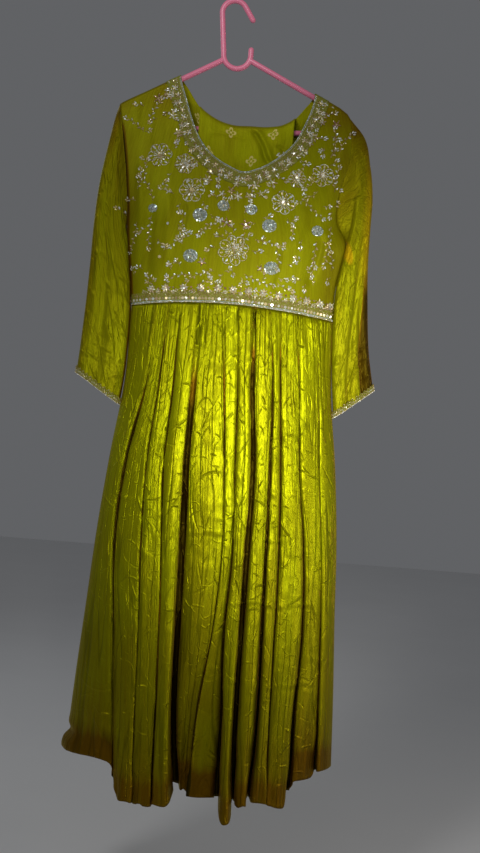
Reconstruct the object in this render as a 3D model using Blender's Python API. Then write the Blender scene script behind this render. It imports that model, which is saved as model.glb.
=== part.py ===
"""Anarkali gown hanging on a tubular plastic hanger, both held still.

Metres, +Z up, front of the gown towards -Y. The origin is the point inside the top
of the hook where the hanger bears on a rail.
"""

import math

import bpy

MM = 0.001

# Cloth, in millimetres
WALL = 1.6
TRIM_WALL = 1.1
TRIM_LIFT = 0.4
SEAM_HALF_GAP = 0.2
WAIST_SEAM_GAP = 0.6

# Hanger, in millimetres
TUBE_RADIUS = 4.9
TUBE_SIDES = 12
# Dome at a tube's end: how far out and how wide, as shares of the tube's radius
DOME_RINGS = ((0.5, 0.86), (0.86, 0.5))
HANGER_TILT_DEG = 2.0
HANGER_HALF_WIDTH = 193.5
ARM_SLOPE_DEG = 27.6
BAR_DROP = 136.0
LOOP_CENTRE = (8.6, -92.7)
LOOP_RADIUS = 24.4
CROOK_CENTRE = (-1.5, -17.5)
CROOK_RADIUS = 22.4
CROOK_END_DEG = 33.0
CROOK_TIP_LENGTH = 27.0
STUB_HEIGHT = 11.0
# Where an arm leaves the loop, from the loop's centre, in loop radii: out and down
ARM_ROOT = (0.96, 0.36)
CROOK_STEPS = 14
LOOP_STEPS = 18
BEND_STEPS = 10

# Rounding of the cloth where it lies over a hanger tube: height and depth
DRAPE_HEIGHT = 7.7
DRAPE_DEPTH = 7.8
DRAPE_ROWS = (0.0, 1.0, 3.2, DRAPE_HEIGHT)

# Side outline of the bodice: height, left edge, right edge
BODICE_SIDES = (
    (-130.0, -194.0, 222.0),
    (-196.0, -194.0, 222.0),
    (-238.0, -187.0, 225.0),
    (-278.0, -180.0, 223.0),
    (-315.0, -174.0, 213.0),
    (-348.0, -170.0, 208.0),
    (-384.0, -166.0, 210.0),
    (-418.0, -165.0, 231.0),
    (-450.0, -161.0, 227.0),
    (-500.0, -153.0, 218.0),
    (-560.0, -146.0, 218.0),
)

# Shoulder seams: x, height
LEFT_SHOULDER = (
    (-194.0, -196.0),
    (-190.5, -193.4),
    (-180.0, -187.0),
    (-150.0, -170.6),
    (-114.0, -150.2),
    (-90.0, -136.6),
)
RIGHT_SHOULDER = ((154.0, -150.6), (177.0, -161.6), (200.0, -172.7), (215.0, -183.0), (222.0, -193.0))

# Free edge of the front neck: x, height, height of the worked border below it
FRONT_NECK = (
    (-90.0, -136.6, 62.0),
    (-89.6, -138.2, 62.0),
    (-88.6, -141.2, 62.0),
    (-87.5, -145.6, 62.0),
    (-78.0, -170.0, 62.0),
    (-67.0, -202.0, 58.0),
    (-56.0, -230.0, 50.0),
    (-42.0, -259.0, 40.0),
    (-20.0, -281.0, 32.0),
    (6.0, -297.0, 28.0),
    (35.5, -307.0, 26.0),
    (66.0, -296.0, 28.0),
    (95.0, -276.0, 34.0),
    (122.0, -247.0, 44.0),
    (139.0, -208.0, 55.0),
    (149.0, -185.0, 60.0),
    (152.8, -159.6, 62.0),
    (153.5, -154.6, 62.0),
    (154.0, -150.6, 62.0),
)

# Fold of the back neck, where the slack cloth turns forward over the lower bar: x, height
BACK_NECK = (
    (-90.0, -136.6),
    (-89.3, -138.0),
    (-87.5, -141.0),
    (-83.5, -147.0),
    (-76.0, -156.0),
    (-50.0, -190.0),
    (-22.0, -209.0),
    (10.0, -219.0),
    (42.0, -218.8),
    (76.0, -217.6),
    (102.0, -211.0),
    (121.0, -198.0),
    (138.0, -177.0),
    (151.0, -160.0),
    (153.0, -154.6),
    (154.0, -150.6),
)
FLAP_FROM_X = -50.0
FLAP_TO_X = 121.0
# Turned-down slack of the back neck: drop below the fold, depth towards the front
FLAP_ROWS = ((1.0, 3.6), (3.2, 5.9), (DRAPE_HEIGHT, DRAPE_DEPTH), (30.0, 9.0), (60.0, 10.4), (92.0, 12.0))

BORDER_ROW_AT_SIDE = 20.0
# Columns that only take the neck's edge round the hanger's arm
NECK_POINT_COLUMNS = 3
# Rows between the border row and the waist border, as a share of the height between them
BODICE_SHARES = (0.2, 0.4, 0.55, 0.66, 0.83, 1.0)
UNDERARM_ROW = 8
# Half depth of the armhole at each row from the shoulder tip to the underarm
ARMHOLE_DEPTHS = (SEAM_HALF_GAP, 3.6, 5.9, DRAPE_DEPTH, 9.0, 12.0, 13.0, 9.5, SEAM_HALF_GAP)
WAIST_BORDER_HEIGHT = 37.0
# Level at which a column's place across the waist is read
WAIST_LEVEL = -560.0

# Depth of the body at its middle: height, front, back
BODY_DEPTHS = (
    (-137.0, 7.8, 7.8),
    (-200.0, 12.0, 11.0),
    (-300.0, 26.0, 20.0),
    (-400.0, 40.0, 29.0),
    (-500.0, 46.0, 35.0),
    (-560.0, 48.0, 38.0),
)
BODY_ROUNDNESS = 2.3

# Waist seam: x, height
WAIST_SEAM = ((-146.0, -558.0), (-60.0, -549.0), (36.0, -546.0), (130.0, -551.0), (218.0, -560.0))

# Skirt stations: share of the drop, left side, right side, front depth, back depth
SKIRT_STATIONS = (
    (0.0, -146.0, 218.0, 48.0, 38.0),
    (0.17, -148.0, 226.0, 66.0, 50.0),
    (0.33, -163.0, 243.0, 80.0, 60.0),
    (0.5, -176.0, 256.0, 92.0, 70.0),
    (0.67, -185.0, 263.0, 104.0, 80.0),
    (0.84, -194.0, 271.0, 114.0, 90.0),
    (1.0, -201.0, 277.0, 122.0, 100.0),
)

# Front skirt valleys: half width of the floor, then x at each station, then depth at each station
FRONT_VALLEYS = (
    (1.0, (-96, -105, -130, -139, -128, -116, -103), (0, 3, 10, 14, 14, 20, 26)),
    (1.0, (-75, -82, -92, -89, -81, -75, -70), (0, 8, 10, 8, 8, 12, 16)),
    (1.0, (-56, -56, -61, -53, -45, -40, -36), (0, 10, 12, 6, 4, 6, 8)),
    (5.0, (-18, -21, -22, -18, -15, -11, 2), (0, 4, 12, 30, 38, 46, 50)),
    (1.0, (21, 33, 44, 52, 46, 30, 26), (0, 4, 8, 10, 12, 8, 6)),
    (1.0, (47, 57, 63, 70, 66, 73, 75), (0, 8, 12, 12, 16, 30, 40)),
    (4.5, (76, 84, 95, 96, 96, 97, 103), (0, 8, 12, 18, 28, 40, 48)),
    (1.5, (105, 118, 124, 128, 132, 136, 132), (0, 8, 12, 14, 30, 44, 44)),
    (1.0, (121, 132, 143, 151, 154, 156, 160), (0, 10, 16, 20, 16, 6, 4)),
    (1.5, (151, 166, 176, 194, 202, 198, 200), (0, 8, 12, 18, 24, 30, 30)),
    (1.0, (187, 201, 211, 225, 235, 241, 246), (0, 3, 8, 8, 12, 16, 18)),
)
# How far each front lobe stands out at the hem, left to right
FRONT_LOBES = (0, 4, 2, 6, -24, -20, 10, 4, 4, 2, -10, 0)
# Hem heights: at each side or valley, and at the middle of each lobe
FRONT_HEM_VALLEYS = (-1347, -1384, -1418, -1416, -1388, -1396, -1402, -1404, -1392, -1398, -1388, -1352, -1354)
FRONT_HEM_LOBES = (-1350, -1414, -1420, -1416, -1392, -1400, -1434, -1404, -1398, -1406, -1366, -1352)

BACK_VALLEYS = (
    (1.5, (-104, -110, -118, -124, -128, -132, -136), (0, 6, 12, 16, 20, 24, 26)),
    (1.5, (-62, -66, -72, -76, -82, -80, -84), (0, 8, 10, 14, 22, 28, 30)),
    (3.0, (-20, -24, -20, -26, -22, -28, -26), (0, 6, 14, 22, 28, 34, 38)),
    (1.5, (22, 24, 30, 34, 36, 32, 38), (0, 8, 12, 14, 20, 26, 30)),
    (3.0, (70, 74, 80, 88, 92, 96, 98), (0, 6, 14, 20, 30, 36, 38)),
    (1.5, (118, 122, 132, 140, 150, 152, 158), (0, 8, 12, 18, 22, 26, 30)),
    (1.5, (170, 178, 188, 198, 204, 212, 216), (0, 6, 10, 14, 18, 22, 24)),
)
BACK_LOBES = (0, 2, 6, 0, 6, 0, 2, 0)
BACK_HEM_VALLEYS = (-1347, -1376, -1396, -1404, -1398, -1402, -1394, -1374, -1354)
BACK_HEM_LOBES = (-1362, -1390, -1408, -1410, -1412, -1406, -1392, -1360)

LOBE_SHARES = (0.12, 0.32, 0.68, 0.88)
LOBE_STEEPNESS = 0.8
LOBE_FULLNESS = 0.7
FRONT_SKIRT_ROWS = (0.0, 0.025, 0.08, 0.17, 0.25, 0.33, 0.42, 0.5, 0.585, 0.67, 0.755, 0.84, 0.92, 1.0)
BACK_SKIRT_ROWS = (0.0, 0.03, 0.09, 0.17, 0.33, 0.5, 0.67, 0.84, 0.92, 1.0)

# Sleeves. Outer fold and inner seam: x, y, height at each ring. Half thickness of each ring.
LEFT_OUTER = (
    (-200.0, 0.0, -216.0),
    (-211.0, 0.0, -276.0),
    (-220.0, 0.0, -336.0),
    (-225.0, 0.0, -410.0),
    (-226.0, -1.0, -480.0),
    (-228.0, -2.0, -553.0),
    (-231.0, -3.0, -620.0),
    (-234.0, -4.0, -670.0),
    (-235.0, -4.0, -683.0),
)
LEFT_INNER = (
    (-166.5, 0.0, -424.0),
    (-165.0, 0.0, -440.0),
    (-163.0, 0.0, -462.0),
    (-161.0, -1.0, -490.0),
    (-158.0, -2.0, -530.0),
    (-155.0, -3.0, -580.0),
    (-154.0, -4.0, -640.0),
    (-154.5, -5.0, -721.0),
    (-155.0, -5.0, -736.0),
)
LEFT_THICKNESS = (9.0, 10.0, 10.5, 11.0, 11.5, 12.0, 13.0, 14.0, 14.5)
RIGHT_OUTER = (
    (247.0, 1.0, -220.0),
    (264.0, 3.0, -275.0),
    (272.0, 5.0, -325.0),
    (273.0, 7.0, -385.0),
    (274.0, 10.0, -450.0),
    (279.0, 13.0, -520.0),
    (286.0, 16.0, -590.0),
    (299.0, 20.0, -660.0),
    (302.0, 21.0, -674.0),
)
RIGHT_INNER = (
    (237.0, 0.0, -423.0),
    (237.5, 0.0, -436.0),
    (235.5, -1.0, -456.0),
    (230.0, -2.0, -484.0),
    (225.0, -3.0, -524.0),
    (224.0, -5.0, -576.0),
    (229.0, -6.0, -636.0),
    (237.0, -7.0, -716.0),
    (239.0, -7.0, -730.0),
)
RIGHT_THICKNESS = (11.0, 12.0, 12.5, 12.5, 13.0, 13.5, 14.0, 15.0, 15.5)
SLEEVE_ROUNDNESS = 2.4
CUFF_RINGS = 2
MIDDLE_RING = 4
# How much a sleeve face's sideways look counts against its forward look
SIDEWAYS_WEIGHT = 0.2

LEAF_GREEN = (0.225, 0.245, 0.006, 1.0)
BORDER_GOLD = (0.30, 0.25, 0.10, 1.0)
HANGER_PINK = (0.80, 0.20, 0.30, 1.0)


# --- Small arithmetic -------------------------------------------------------------


def between(table, at, column):
    """Value of one column of a table, at a place in its first column."""
    rows = sorted(table)
    if at <= rows[0][0]:
        return rows[0][column]
    for low, high in zip(rows, rows[1:]):
        if at <= high[0]:
            share = (at - low[0]) / (high[0] - low[0])
            return low[column] + (high[column] - low[column]) * share
    return rows[-1][column]


def mix(low, high, share):
    return low + (high - low) * share


def bulge(share, roundness):
    """0 at both ends, 1 in the middle, with full round ends."""
    reach = min(abs(2.0 * share - 1.0), 1.0)
    return math.sqrt(max(0.0, 1.0 - reach**roundness))


def rounding(drop):
    """Share of the full depth that cloth has reached, that far below a tube's top."""
    left = max(0.0, 1.0 - drop / DRAPE_HEIGHT)
    return math.sqrt(1.0 - left * left)


def length(vector):
    return math.sqrt(sum(part * part for part in vector))


def unit(vector):
    size = length(vector) or 1.0
    return tuple(part / size for part in vector)


def cross(a, b):
    return (a[1] * b[2] - a[2] * b[1], a[2] * b[0] - a[0] * b[2], a[0] * b[1] - a[1] * b[0])


def dot(a, b):
    return a[0] * b[0] + a[1] * b[1] + a[2] * b[2]


def minus(a, b):
    return (a[0] - b[0], a[1] - b[1], a[2] - b[2])


def moved(point, along, by):
    return (point[0] + along[0] * by, point[1] + along[1] * by, point[2] + along[2] * by)


# --- Meshes -----------------------------------------------------------------------


def signed_volume(points, faces):
    total = 0.0
    for face in faces:
        first = points[face[0]]
        for second, third in zip(face[1:], face[2:]):
            total += dot(first, cross(points[second], points[third]))
    return total


def material_for(name, colour, roughness):
    material = bpy.data.materials.new(name)
    material.use_nodes = True
    shader = material.node_tree.nodes["Principled BSDF"]
    shader.inputs["Base Color"].default_value = colour
    shader.inputs["Roughness"].default_value = roughness
    shader.inputs["Metallic"].default_value = 0.0
    return material


def add_solid(name, points, faces, material):
    """One closed mesh, facing out, from points in millimetres."""
    if signed_volume(points, faces) < 0.0:
        faces = [tuple(reversed(face)) for face in faces]
    mesh = bpy.data.meshes.new(name)
    mesh.from_pydata([tuple(part * MM for part in point) for point in points], [], faces)
    mesh.materials.append(material)
    for polygon in mesh.polygons:
        polygon.use_smooth = True
    solid = bpy.data.objects.new(name, mesh)
    bpy.context.scene.collection.objects.link(solid)
    return solid


def vertex_normals(points, faces):
    sums = [(0.0, 0.0, 0.0)] * len(points)
    for face in faces:
        across = minus(points[face[1]], points[face[0]])
        down = minus(points[face[2]], points[face[0]])
        normal = cross(across, down)
        for index in face:
            sums[index] = moved(sums[index], normal, 1.0)
    return [unit(normal) for normal in sums]


def rim_edges(faces):
    """Edges that one face only uses, in that face's direction."""
    used = {}
    for face in faces:
        for start, end in zip(face, face[1:] + face[:1]):
            used[(start, end)] = True
    return [edge for edge in used if (edge[1], edge[0]) not in used]


def thicken(points, faces, lift, wall, locks):
    """Closed shell whose outer face is lifted off the sheet and whose wall goes in.

    locks holds, for a point on a seam, the directions in which it can't move.
    """
    normals = vertex_normals(points, faces)
    outer = []
    inner = []
    for index, (point, normal) in enumerate(zip(points, normals)):
        for lock in locks.get(index, ()):
            normal = unit(moved(normal, lock, -dot(normal, lock)))
        outer.append(moved(point, normal, lift + (wall if lift else 0.0)))
        inner.append(moved(point, normal, lift if lift else -wall))
    count = len(points)
    shell = list(faces)
    shell += [tuple(index + count for index in reversed(face)) for face in faces]
    shell += [(end, start, start + count, end + count) for start, end in rim_edges(faces)]
    return outer + inner, shell


class Sheet:
    """A grid of points on the outer face of one piece of cloth."""

    def __init__(self, rows, closed=False):
        self.rows = rows
        self.closed = closed
        self.wide = len(rows[0])
        self.locks = {}

    def index(self, row, column):
        return row * self.wide + column % self.wide

    def lock(self, row, column, direction):
        self.locks.setdefault(self.index(row, column), []).append(direction)

    def points(self):
        return [point for row in self.rows for point in row]

    def faces(self):
        last = self.wide if self.closed else self.wide - 1
        found = []
        for row in range(len(self.rows) - 1):
            for column in range(last):
                found.append(
                    (
                        self.index(row, column),
                        self.index(row + 1, column),
                        self.index(row + 1, column + 1),
                        self.index(row, column + 1),
                    )
                )
        return found


def halved(faces):
    """Each four-sided face as two triangles, always cut along the same diagonal."""
    return [half for a, b, c, d in faces for half in ((a, b, c), (a, c, d))]


def outward(points, faces, towards):
    """The faces, turned so that most of them face away from the middle of the body."""
    normals = vertex_normals(points, faces)
    score = sum(dot(normal, towards(point)) for point, normal in zip(points, normals))
    return faces if score > 0.0 else [tuple(reversed(face)) for face in faces]


def keep_used(points, faces, locks):
    """Only the points that the faces use, numbered again."""
    used = sorted({index for face in faces for index in face})
    place = {old: new for new, old in enumerate(used)}
    kept = {place[old]: lock for old, lock in locks.items() if old in place}
    return [points[old] for old in used], [tuple(place[i] for i in face) for face in faces], kept


def add_cloth(name, points, faces, locks, towards, material, lift=0.0, wall=WALL):
    points, faces, locks = keep_used(points, halved(faces), locks)
    faces = outward(points, faces, towards)
    shell_points, shell_faces = thicken(points, faces, lift, wall, locks)
    return add_solid(name, shell_points, shell_faces, material)


# --- Bodice -----------------------------------------------------------------------


def side_x(height, column):
    return between(BODICE_SIDES, height, column)


def share_across(x, height):
    """How far across the bodice a point is: 0 at its left edge, 1 at its right."""
    left = side_x(height, 1)
    return (x - left) / (side_x(height, 2) - left)


def shoulder_height(x):
    """Height of the shoulder seam, carried on towards the middle at the arms' slope."""
    slope = math.tan(math.radians(ARM_SLOPE_DEG))
    if x < LEFT_SHOULDER[-1][0]:
        return between(LEFT_SHOULDER, x, 1)
    if x > RIGHT_SHOULDER[0][0]:
        return between(RIGHT_SHOULDER, x, 1)
    left = LEFT_SHOULDER[-1][1] + (x - LEFT_SHOULDER[-1][0]) * slope
    right = RIGHT_SHOULDER[0][1] + (RIGHT_SHOULDER[0][0] - x) * slope
    return min(left, right)


def bodice_columns(neck):
    """(share across, top height, border height) of every column of a bodice panel."""
    tops = [(x, z, BORDER_ROW_AT_SIDE) for x, z in LEFT_SHOULDER[:-1]]
    tops += [(x, z, border) for x, z, border in neck]
    tops += [(x, z, BORDER_ROW_AT_SIDE) for x, z in RIGHT_SHOULDER[1:]]
    return [(share_across(x, z), x, z, border) for x, z, border in tops]


def bodice_heights(share, top, border):
    """Heights of one column's points, from its top to the waist seam."""
    waist_x = mix(side_x(WAIST_LEVEL, 1), side_x(WAIST_LEVEL, 2), share)
    waist = between(WAIST_SEAM, waist_x, 1)
    border_z = top - border
    heights = [top - drop for drop in DRAPE_ROWS]
    heights.append(border_z)
    heights += [mix(border_z, waist + WAIST_BORDER_HEIGHT, part) for part in BODICE_SHARES]
    heights.append(waist)
    return heights


def body_depth(share, height, column, row):
    edge = ARMHOLE_DEPTHS[row] if row <= UNDERARM_ROW else SEAM_HALF_GAP
    middle = between(BODY_DEPTHS, height, column)
    return mix(edge, middle, bulge(share, BODY_ROUNDNESS))


def bodice_sheet(columns, side, folds_over):
    """Grid of a bodice panel. side is -1 for the front and 1 for the back."""
    depth_column = 1 if side < 0 else 2
    grid = []
    for share, top_x, top, border in columns:
        line = []
        for row, height in enumerate(bodice_heights(share, top, border)):
            x = mix(side_x(height, 1), side_x(height, 2), share)
            if row == 0:
                x = top_x
            depth = body_depth(share, height, depth_column, row)
            if 0.0 < share < 1.0:
                ridge = top if folds_over(top_x) else shoulder_height(x)
                depth = max(SEAM_HALF_GAP, depth * rounding(ridge - height))
                if folds_over(top_x) and row < len(DRAPE_ROWS):
                    depth = max(SEAM_HALF_GAP, DRAPE_DEPTH * rounding(ridge - height))
            line.append((x, side * depth, height))
        grid.append(line)
    sheet = Sheet([list(row) for row in zip(*grid)])
    lock_bodice(sheet, columns)
    return sheet


def armhole_normal(sheet, row, column):
    """Direction across the armhole seam, in the plane of the front."""
    low = sheet.rows[min(row + 1, UNDERARM_ROW)][column]
    high = sheet.rows[max(row - 1, 0)][column]
    return unit((low[2] - high[2], 0.0, high[0] - low[0]))


def lock_bodice(sheet, columns):
    last = sheet.wide - 1
    for column in (0, last):
        for row in range(len(sheet.rows)):
            if row < UNDERARM_ROW:
                sheet.lock(row, column, armhole_normal(sheet, row, column))
            else:
                sheet.lock(row, column, (0.0, 1.0, 0.0))
    for column, (_, x, _, _) in enumerate(columns):
        if x <= LEFT_SHOULDER[-1][0] or x >= RIGHT_SHOULDER[0][0]:
            sheet.lock(0, column, (0.0, 1.0, 0.0))
        sheet.lock(len(sheet.rows) - 1, column, (0.0, 0.0, 1.0))


def forward(_point):
    return (0.0, -1.0, 0.0)


def backward(_point):
    return (0.0, 1.0, 0.0)


def add_bodice_front(cloth, worked):
    columns = bodice_columns(FRONT_NECK)
    sheet = bodice_sheet(columns, -1.0, lambda x: False)
    points = sheet.points()
    faces = sheet.faces()
    add_cloth("bodice_front", points, faces, sheet.locks, forward, cloth)
    per_row = sheet.wide - 1
    lowest = len(DRAPE_ROWS) - 1
    left = len(LEFT_SHOULDER) - 1
    right = per_row - (len(RIGHT_SHOULDER) - 1)
    neck = faces[lowest * per_row + left - 1 : lowest * per_row + right + 1]
    for row in range(1, lowest):
        first = row * per_row
        neck += faces[first + left + NECK_POINT_COLUMNS : first + right - NECK_POINT_COLUMNS]
    add_cloth("neck_border", points, neck, {}, forward, worked, TRIM_LIFT, TRIM_WALL)
    waist = faces[-per_row:][1:-1]
    add_cloth("waist_border", points, waist, {}, forward, worked, TRIM_LIFT, TRIM_WALL)
    return sheet


def add_bodice_back(cloth):
    neck = [(x, z, BORDER_ROW_AT_SIDE) for x, z in BACK_NECK]
    columns = bodice_columns(neck)

    def folds_over(x):
        return FLAP_FROM_X <= x <= FLAP_TO_X

    sheet = bodice_sheet(columns, 1.0, folds_over)
    points = sheet.points()
    faces = sheet.faces()
    flap = [index for index, column in enumerate(columns) if folds_over(column[1])]
    above = flap
    for drop, depth in FLAP_ROWS:
        below = []
        for column in flap:
            fold = sheet.rows[0][column]
            below.append(len(points))
            points.append((fold[0], -depth, fold[2] - drop))
        for left in range(len(flap) - 1):
            faces.append((above[left], above[left + 1], below[left + 1], below[left]))
        above = below
    for column in flap:
        x, _, z = points[column]
        points[column] = (x, 0.0, z)
    add_cloth("bodice_back", points, faces, sheet.locks, backward, cloth)
    return sheet


# --- Sleeves ----------------------------------------------------------------------


def armhole_ring(front, back, column, side):
    """The armhole as a ring: down the front from the shoulder tip, and up the back."""
    apart = side * 2.0 * SEAM_HALF_GAP
    ring = []
    for row in range(UNDERARM_ROW + 1):
        point = moved(front.rows[row][column], armhole_normal(front, row, column), apart)
        if row in (0, UNDERARM_ROW):
            point = (point[0], 0.0, point[2])
        ring.append(point)
    for row in range(UNDERARM_ROW - 1, 0, -1):
        ring.append(moved(back.rows[row][column], armhole_normal(back, row, column), apart))
    return ring


def sleeve_ring(shares, outer, inner, thick):
    """A flattened ring between the outer fold and the inner seam."""
    ring = []
    count = len(shares)
    for number in range(2 * count - 2):
        on_front = number < count
        share = shares[number] if on_front else shares[2 * count - 2 - number]
        reach = min(abs(2.0 * share - 1.0), 1.0)
        depth = thick * (1.0 - reach**SLEEVE_ROUNDNESS) ** (1.0 / SLEEVE_ROUNDNESS)
        x = mix(outer[0], inner[0], share)
        y = mix(outer[1], inner[1], share) + (-depth if on_front else depth)
        ring.append((x, y, mix(outer[2], inner[2], share)))
    return ring


def add_sleeve(name, front, back, column, side, outers, inners, thicks, cloth, worked):
    armhole = armhole_ring(front, back, column, side)
    top = armhole[0][2]
    low = armhole[UNDERARM_ROW][2]
    shares = [(top - point[2]) / (top - low) for point in armhole[: UNDERARM_ROW + 1]]
    rings = [armhole]
    rings += [sleeve_ring(shares, *ring) for ring in zip(outers, inners, thicks)]
    sheet = Sheet(rings, closed=True)
    for number in range(len(armhole)):
        row = number if number <= UNDERARM_ROW else 2 * UNDERARM_ROW - number
        sheet.lock(0, number, armhole_normal(front, row, column))
    middle_x = (outers[MIDDLE_RING][0] + inners[MIDDLE_RING][0]) / 2.0

    def away(point):
        return (SIDEWAYS_WEIGHT * (point[0] - middle_x), point[1], 0.0)

    points = sheet.points()
    faces = sheet.faces()
    add_cloth(name, points, faces, sheet.locks, away, cloth)
    cuff = faces[-sheet.wide * (CUFF_RINGS - 1) :]
    add_cloth(name.replace("sleeve", "cuff"), points, cuff, {}, away, worked, TRIM_LIFT, TRIM_WALL)


# --- Skirt ------------------------------------------------------------------------


def station_value(values, drop):
    """Value at a share of the skirt's drop, from one value per station."""
    table = [(station[0], value) for station, value in zip(SKIRT_STATIONS, values)]
    return between(table, drop, 1)


def skirt_columns(valley_count):
    """(lobe number, place in the lobe) of every column: floors, walls and crowns."""
    columns = []
    for lobe in range(valley_count + 1):
        columns.append((lobe, 0.0))
        columns += [(lobe, share) for share in LOBE_SHARES]
        columns.append((lobe, 1.0))
    return columns


def lobe_ends(valleys, lobe, drop):
    """x and valley depth at the left and right ends of a lobe."""
    left = (between(SKIRT_STATIONS, drop, 1), 0.0)
    right = (between(SKIRT_STATIONS, drop, 2), 0.0)
    if lobe > 0:
        floor, places, depths = valleys[lobe - 1]
        left = (station_value(places, drop) + floor, station_value(depths, drop))
    if lobe < len(valleys):
        floor, places, depths = valleys[lobe]
        right = (station_value(places, drop) - floor, station_value(depths, drop))
    return left, right


def skirt_point(valleys, lobes, hem_valleys, hem_lobes, side, lobe, place, drop):
    (left_x, left_depth), (right_x, right_depth) = lobe_ends(valleys, lobe, drop)
    shifted = place - LOBE_STEEPNESS * math.sin(2.0 * math.pi * place) / (2.0 * math.pi)
    x = mix(left_x, right_x, shifted)
    crown = math.sin(math.pi * place) ** LOBE_FULLNESS if 0.0 < place < 1.0 else 0.0
    left_side = between(SKIRT_STATIONS, drop, 1)
    right_side = between(SKIRT_STATIONS, drop, 2)
    share = (x - left_side) / (right_side - left_side)
    full = between(SKIRT_STATIONS, drop, 3 if side < 0 else 4)
    round_share = bulge(share, BODY_ROUNDNESS)
    dip = mix(left_depth, right_depth, shifted) * (1.0 - crown)
    depth = full * round_share - dip + lobes[lobe] * drop * drop * crown
    if share <= 0.0 or share >= 1.0:
        depth = 0.0
    top = between(WAIST_SEAM, x, 1) - WAIST_SEAM_GAP
    hem_low = mix(hem_valleys[lobe], hem_valleys[lobe + 1], place)
    hem_middle = hem_lobes[lobe]
    hem = mix(hem_low, hem_middle, crown)
    return (x, side * max(depth, SEAM_HALF_GAP), mix(top, hem, drop))


def add_skirt(name, side, valleys, lobes, hem_valleys, hem_lobes, drops, cloth):
    columns = skirt_columns(len(valleys))
    rows = []
    for drop in drops:
        shape = (valleys, lobes, hem_valleys, hem_lobes, side)
        rows.append([skirt_point(*shape, lobe, place, drop) for lobe, place in columns])
    sheet = Sheet(rows)
    for row in range(len(rows)):
        sheet.lock(row, 0, (0.0, 1.0, 0.0))
        sheet.lock(row, sheet.wide - 1, (0.0, 1.0, 0.0))
    for column in range(sheet.wide):
        sheet.lock(0, column, (0.0, 0.0, 1.0))
    add_cloth(name, sheet.points(), sheet.faces(), sheet.locks, forward if side < 0 else backward, cloth)


# --- Hanger -----------------------------------------------------------------------


def tilted(x, z):
    """A place on the hanger's own level frame, measured from its loop, as it hangs."""
    turn = math.radians(HANGER_TILT_DEG)
    return (
        LOOP_CENTRE[0] + x * math.cos(turn) - z * math.sin(turn),
        LOOP_CENTRE[1] + x * math.sin(turn) + z * math.cos(turn),
    )


def arc(centre, radius, start, end, steps):
    places = []
    for step in range(steps + 1):
        angle = math.radians(mix(start, end, step / steps))
        places.append((centre[0] + radius * math.cos(angle), centre[1] + radius * math.sin(angle)))
    return places


def hook_path():
    """From the hook's tip, over the crook, down the stem and round the loop to its stub."""
    end = math.radians(CROOK_END_DEG)
    path = arc(CROOK_CENTRE, CROOK_RADIUS, CROOK_END_DEG, 180.0, CROOK_STEPS)
    tip = (
        path[0][0] + CROOK_TIP_LENGTH * math.sin(end),
        path[0][1] - CROOK_TIP_LENGTH * math.cos(end),
    )
    path.insert(0, tip)
    path += arc(LOOP_CENTRE, LOOP_RADIUS, 180.0, 360.0, LOOP_STEPS)
    path.append((path[-1][0], path[-1][1] + STUB_HEIGHT))
    return path


def frame_path():
    """From the loop down one arm, round its end, along the bar and back up the other."""
    slope = math.radians(ARM_SLOPE_DEG)
    start_x = LOOP_RADIUS * ARM_ROOT[0]
    start_z = -LOOP_RADIUS * ARM_ROOT[1]
    corner_x = start_x + (BAR_DROP + start_z) / math.tan(slope)
    radius = (corner_x - HANGER_HALF_WIDTH) / (1.0 / math.tan(slope / 2.0) - 1.0)
    bend = (HANGER_HALF_WIDTH - radius, -BAR_DROP + radius)
    right = [(start_x, start_z)] + arc(bend, radius, 90.0 - ARM_SLOPE_DEG, -90.0, BEND_STEPS)
    left = [(-x, z) for x, z in reversed(right)]
    return [tilted(x, z) for x, z in right + left]


def tube(path):
    """A tube round a path in the plane of the hanger, with domed ends."""
    rings = []
    last = len(path) - 1
    for number, (x, z) in enumerate(path):
        before = path[max(number - 1, 0)]
        after = path[min(number + 1, last)]
        along = unit((after[0] - before[0], 0.0, after[1] - before[1]))
        rings.append(((x, 0.0, z), along, TUBE_RADIUS))
    first = rings[0]
    final = rings[-1]
    for share, width in DOME_RINGS:
        rings.insert(0, (moved(first[0], first[1], -share * TUBE_RADIUS), first[1], width * TUBE_RADIUS))
        rings.append((moved(final[0], final[1], share * TUBE_RADIUS), final[1], width * TUBE_RADIUS))
    points = []
    faces = []
    for centre, along, radius in rings:
        across = (along[2], 0.0, -along[0])
        for side in range(TUBE_SIDES):
            angle = 2.0 * math.pi * side / TUBE_SIDES
            point = moved(centre, across, radius * math.cos(angle))
            points.append(moved(point, (0.0, 1.0, 0.0), radius * math.sin(angle)))
    for ring in range(len(rings) - 1):
        for side in range(TUBE_SIDES):
            after = (side + 1) % TUBE_SIDES
            low = ring * TUBE_SIDES
            high = low + TUBE_SIDES
            faces.append((low + side, low + after, high + after, high + side))
    points.append(moved(first[0], first[1], -TUBE_RADIUS))
    points.append(moved(final[0], final[1], TUBE_RADIUS))
    for side in range(TUBE_SIDES):
        after = (side + 1) % TUBE_SIDES
        end = (len(rings) - 1) * TUBE_SIDES
        faces.append((after, side, len(points) - 2))
        faces.append((end + side, end + after, len(points) - 1))
    return points, faces


def add_hanger(plastic):
    hanger = add_solid("hanger", *tube(hook_path()), plastic)
    frame = add_solid("hanger_frame", *tube(frame_path()), plastic)
    frame.hide_render = True
    frame.display_type = "WIRE"
    joined = hanger.modifiers.new("moulded_in_one", "BOOLEAN")
    joined.operation = "UNION"
    joined.solver = "EXACT"
    joined.object = frame


# --- Build ------------------------------------------------------------------------


def clear_scene():
    for existing in list(bpy.data.objects):
        bpy.data.objects.remove(existing, do_unlink=True)


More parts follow.
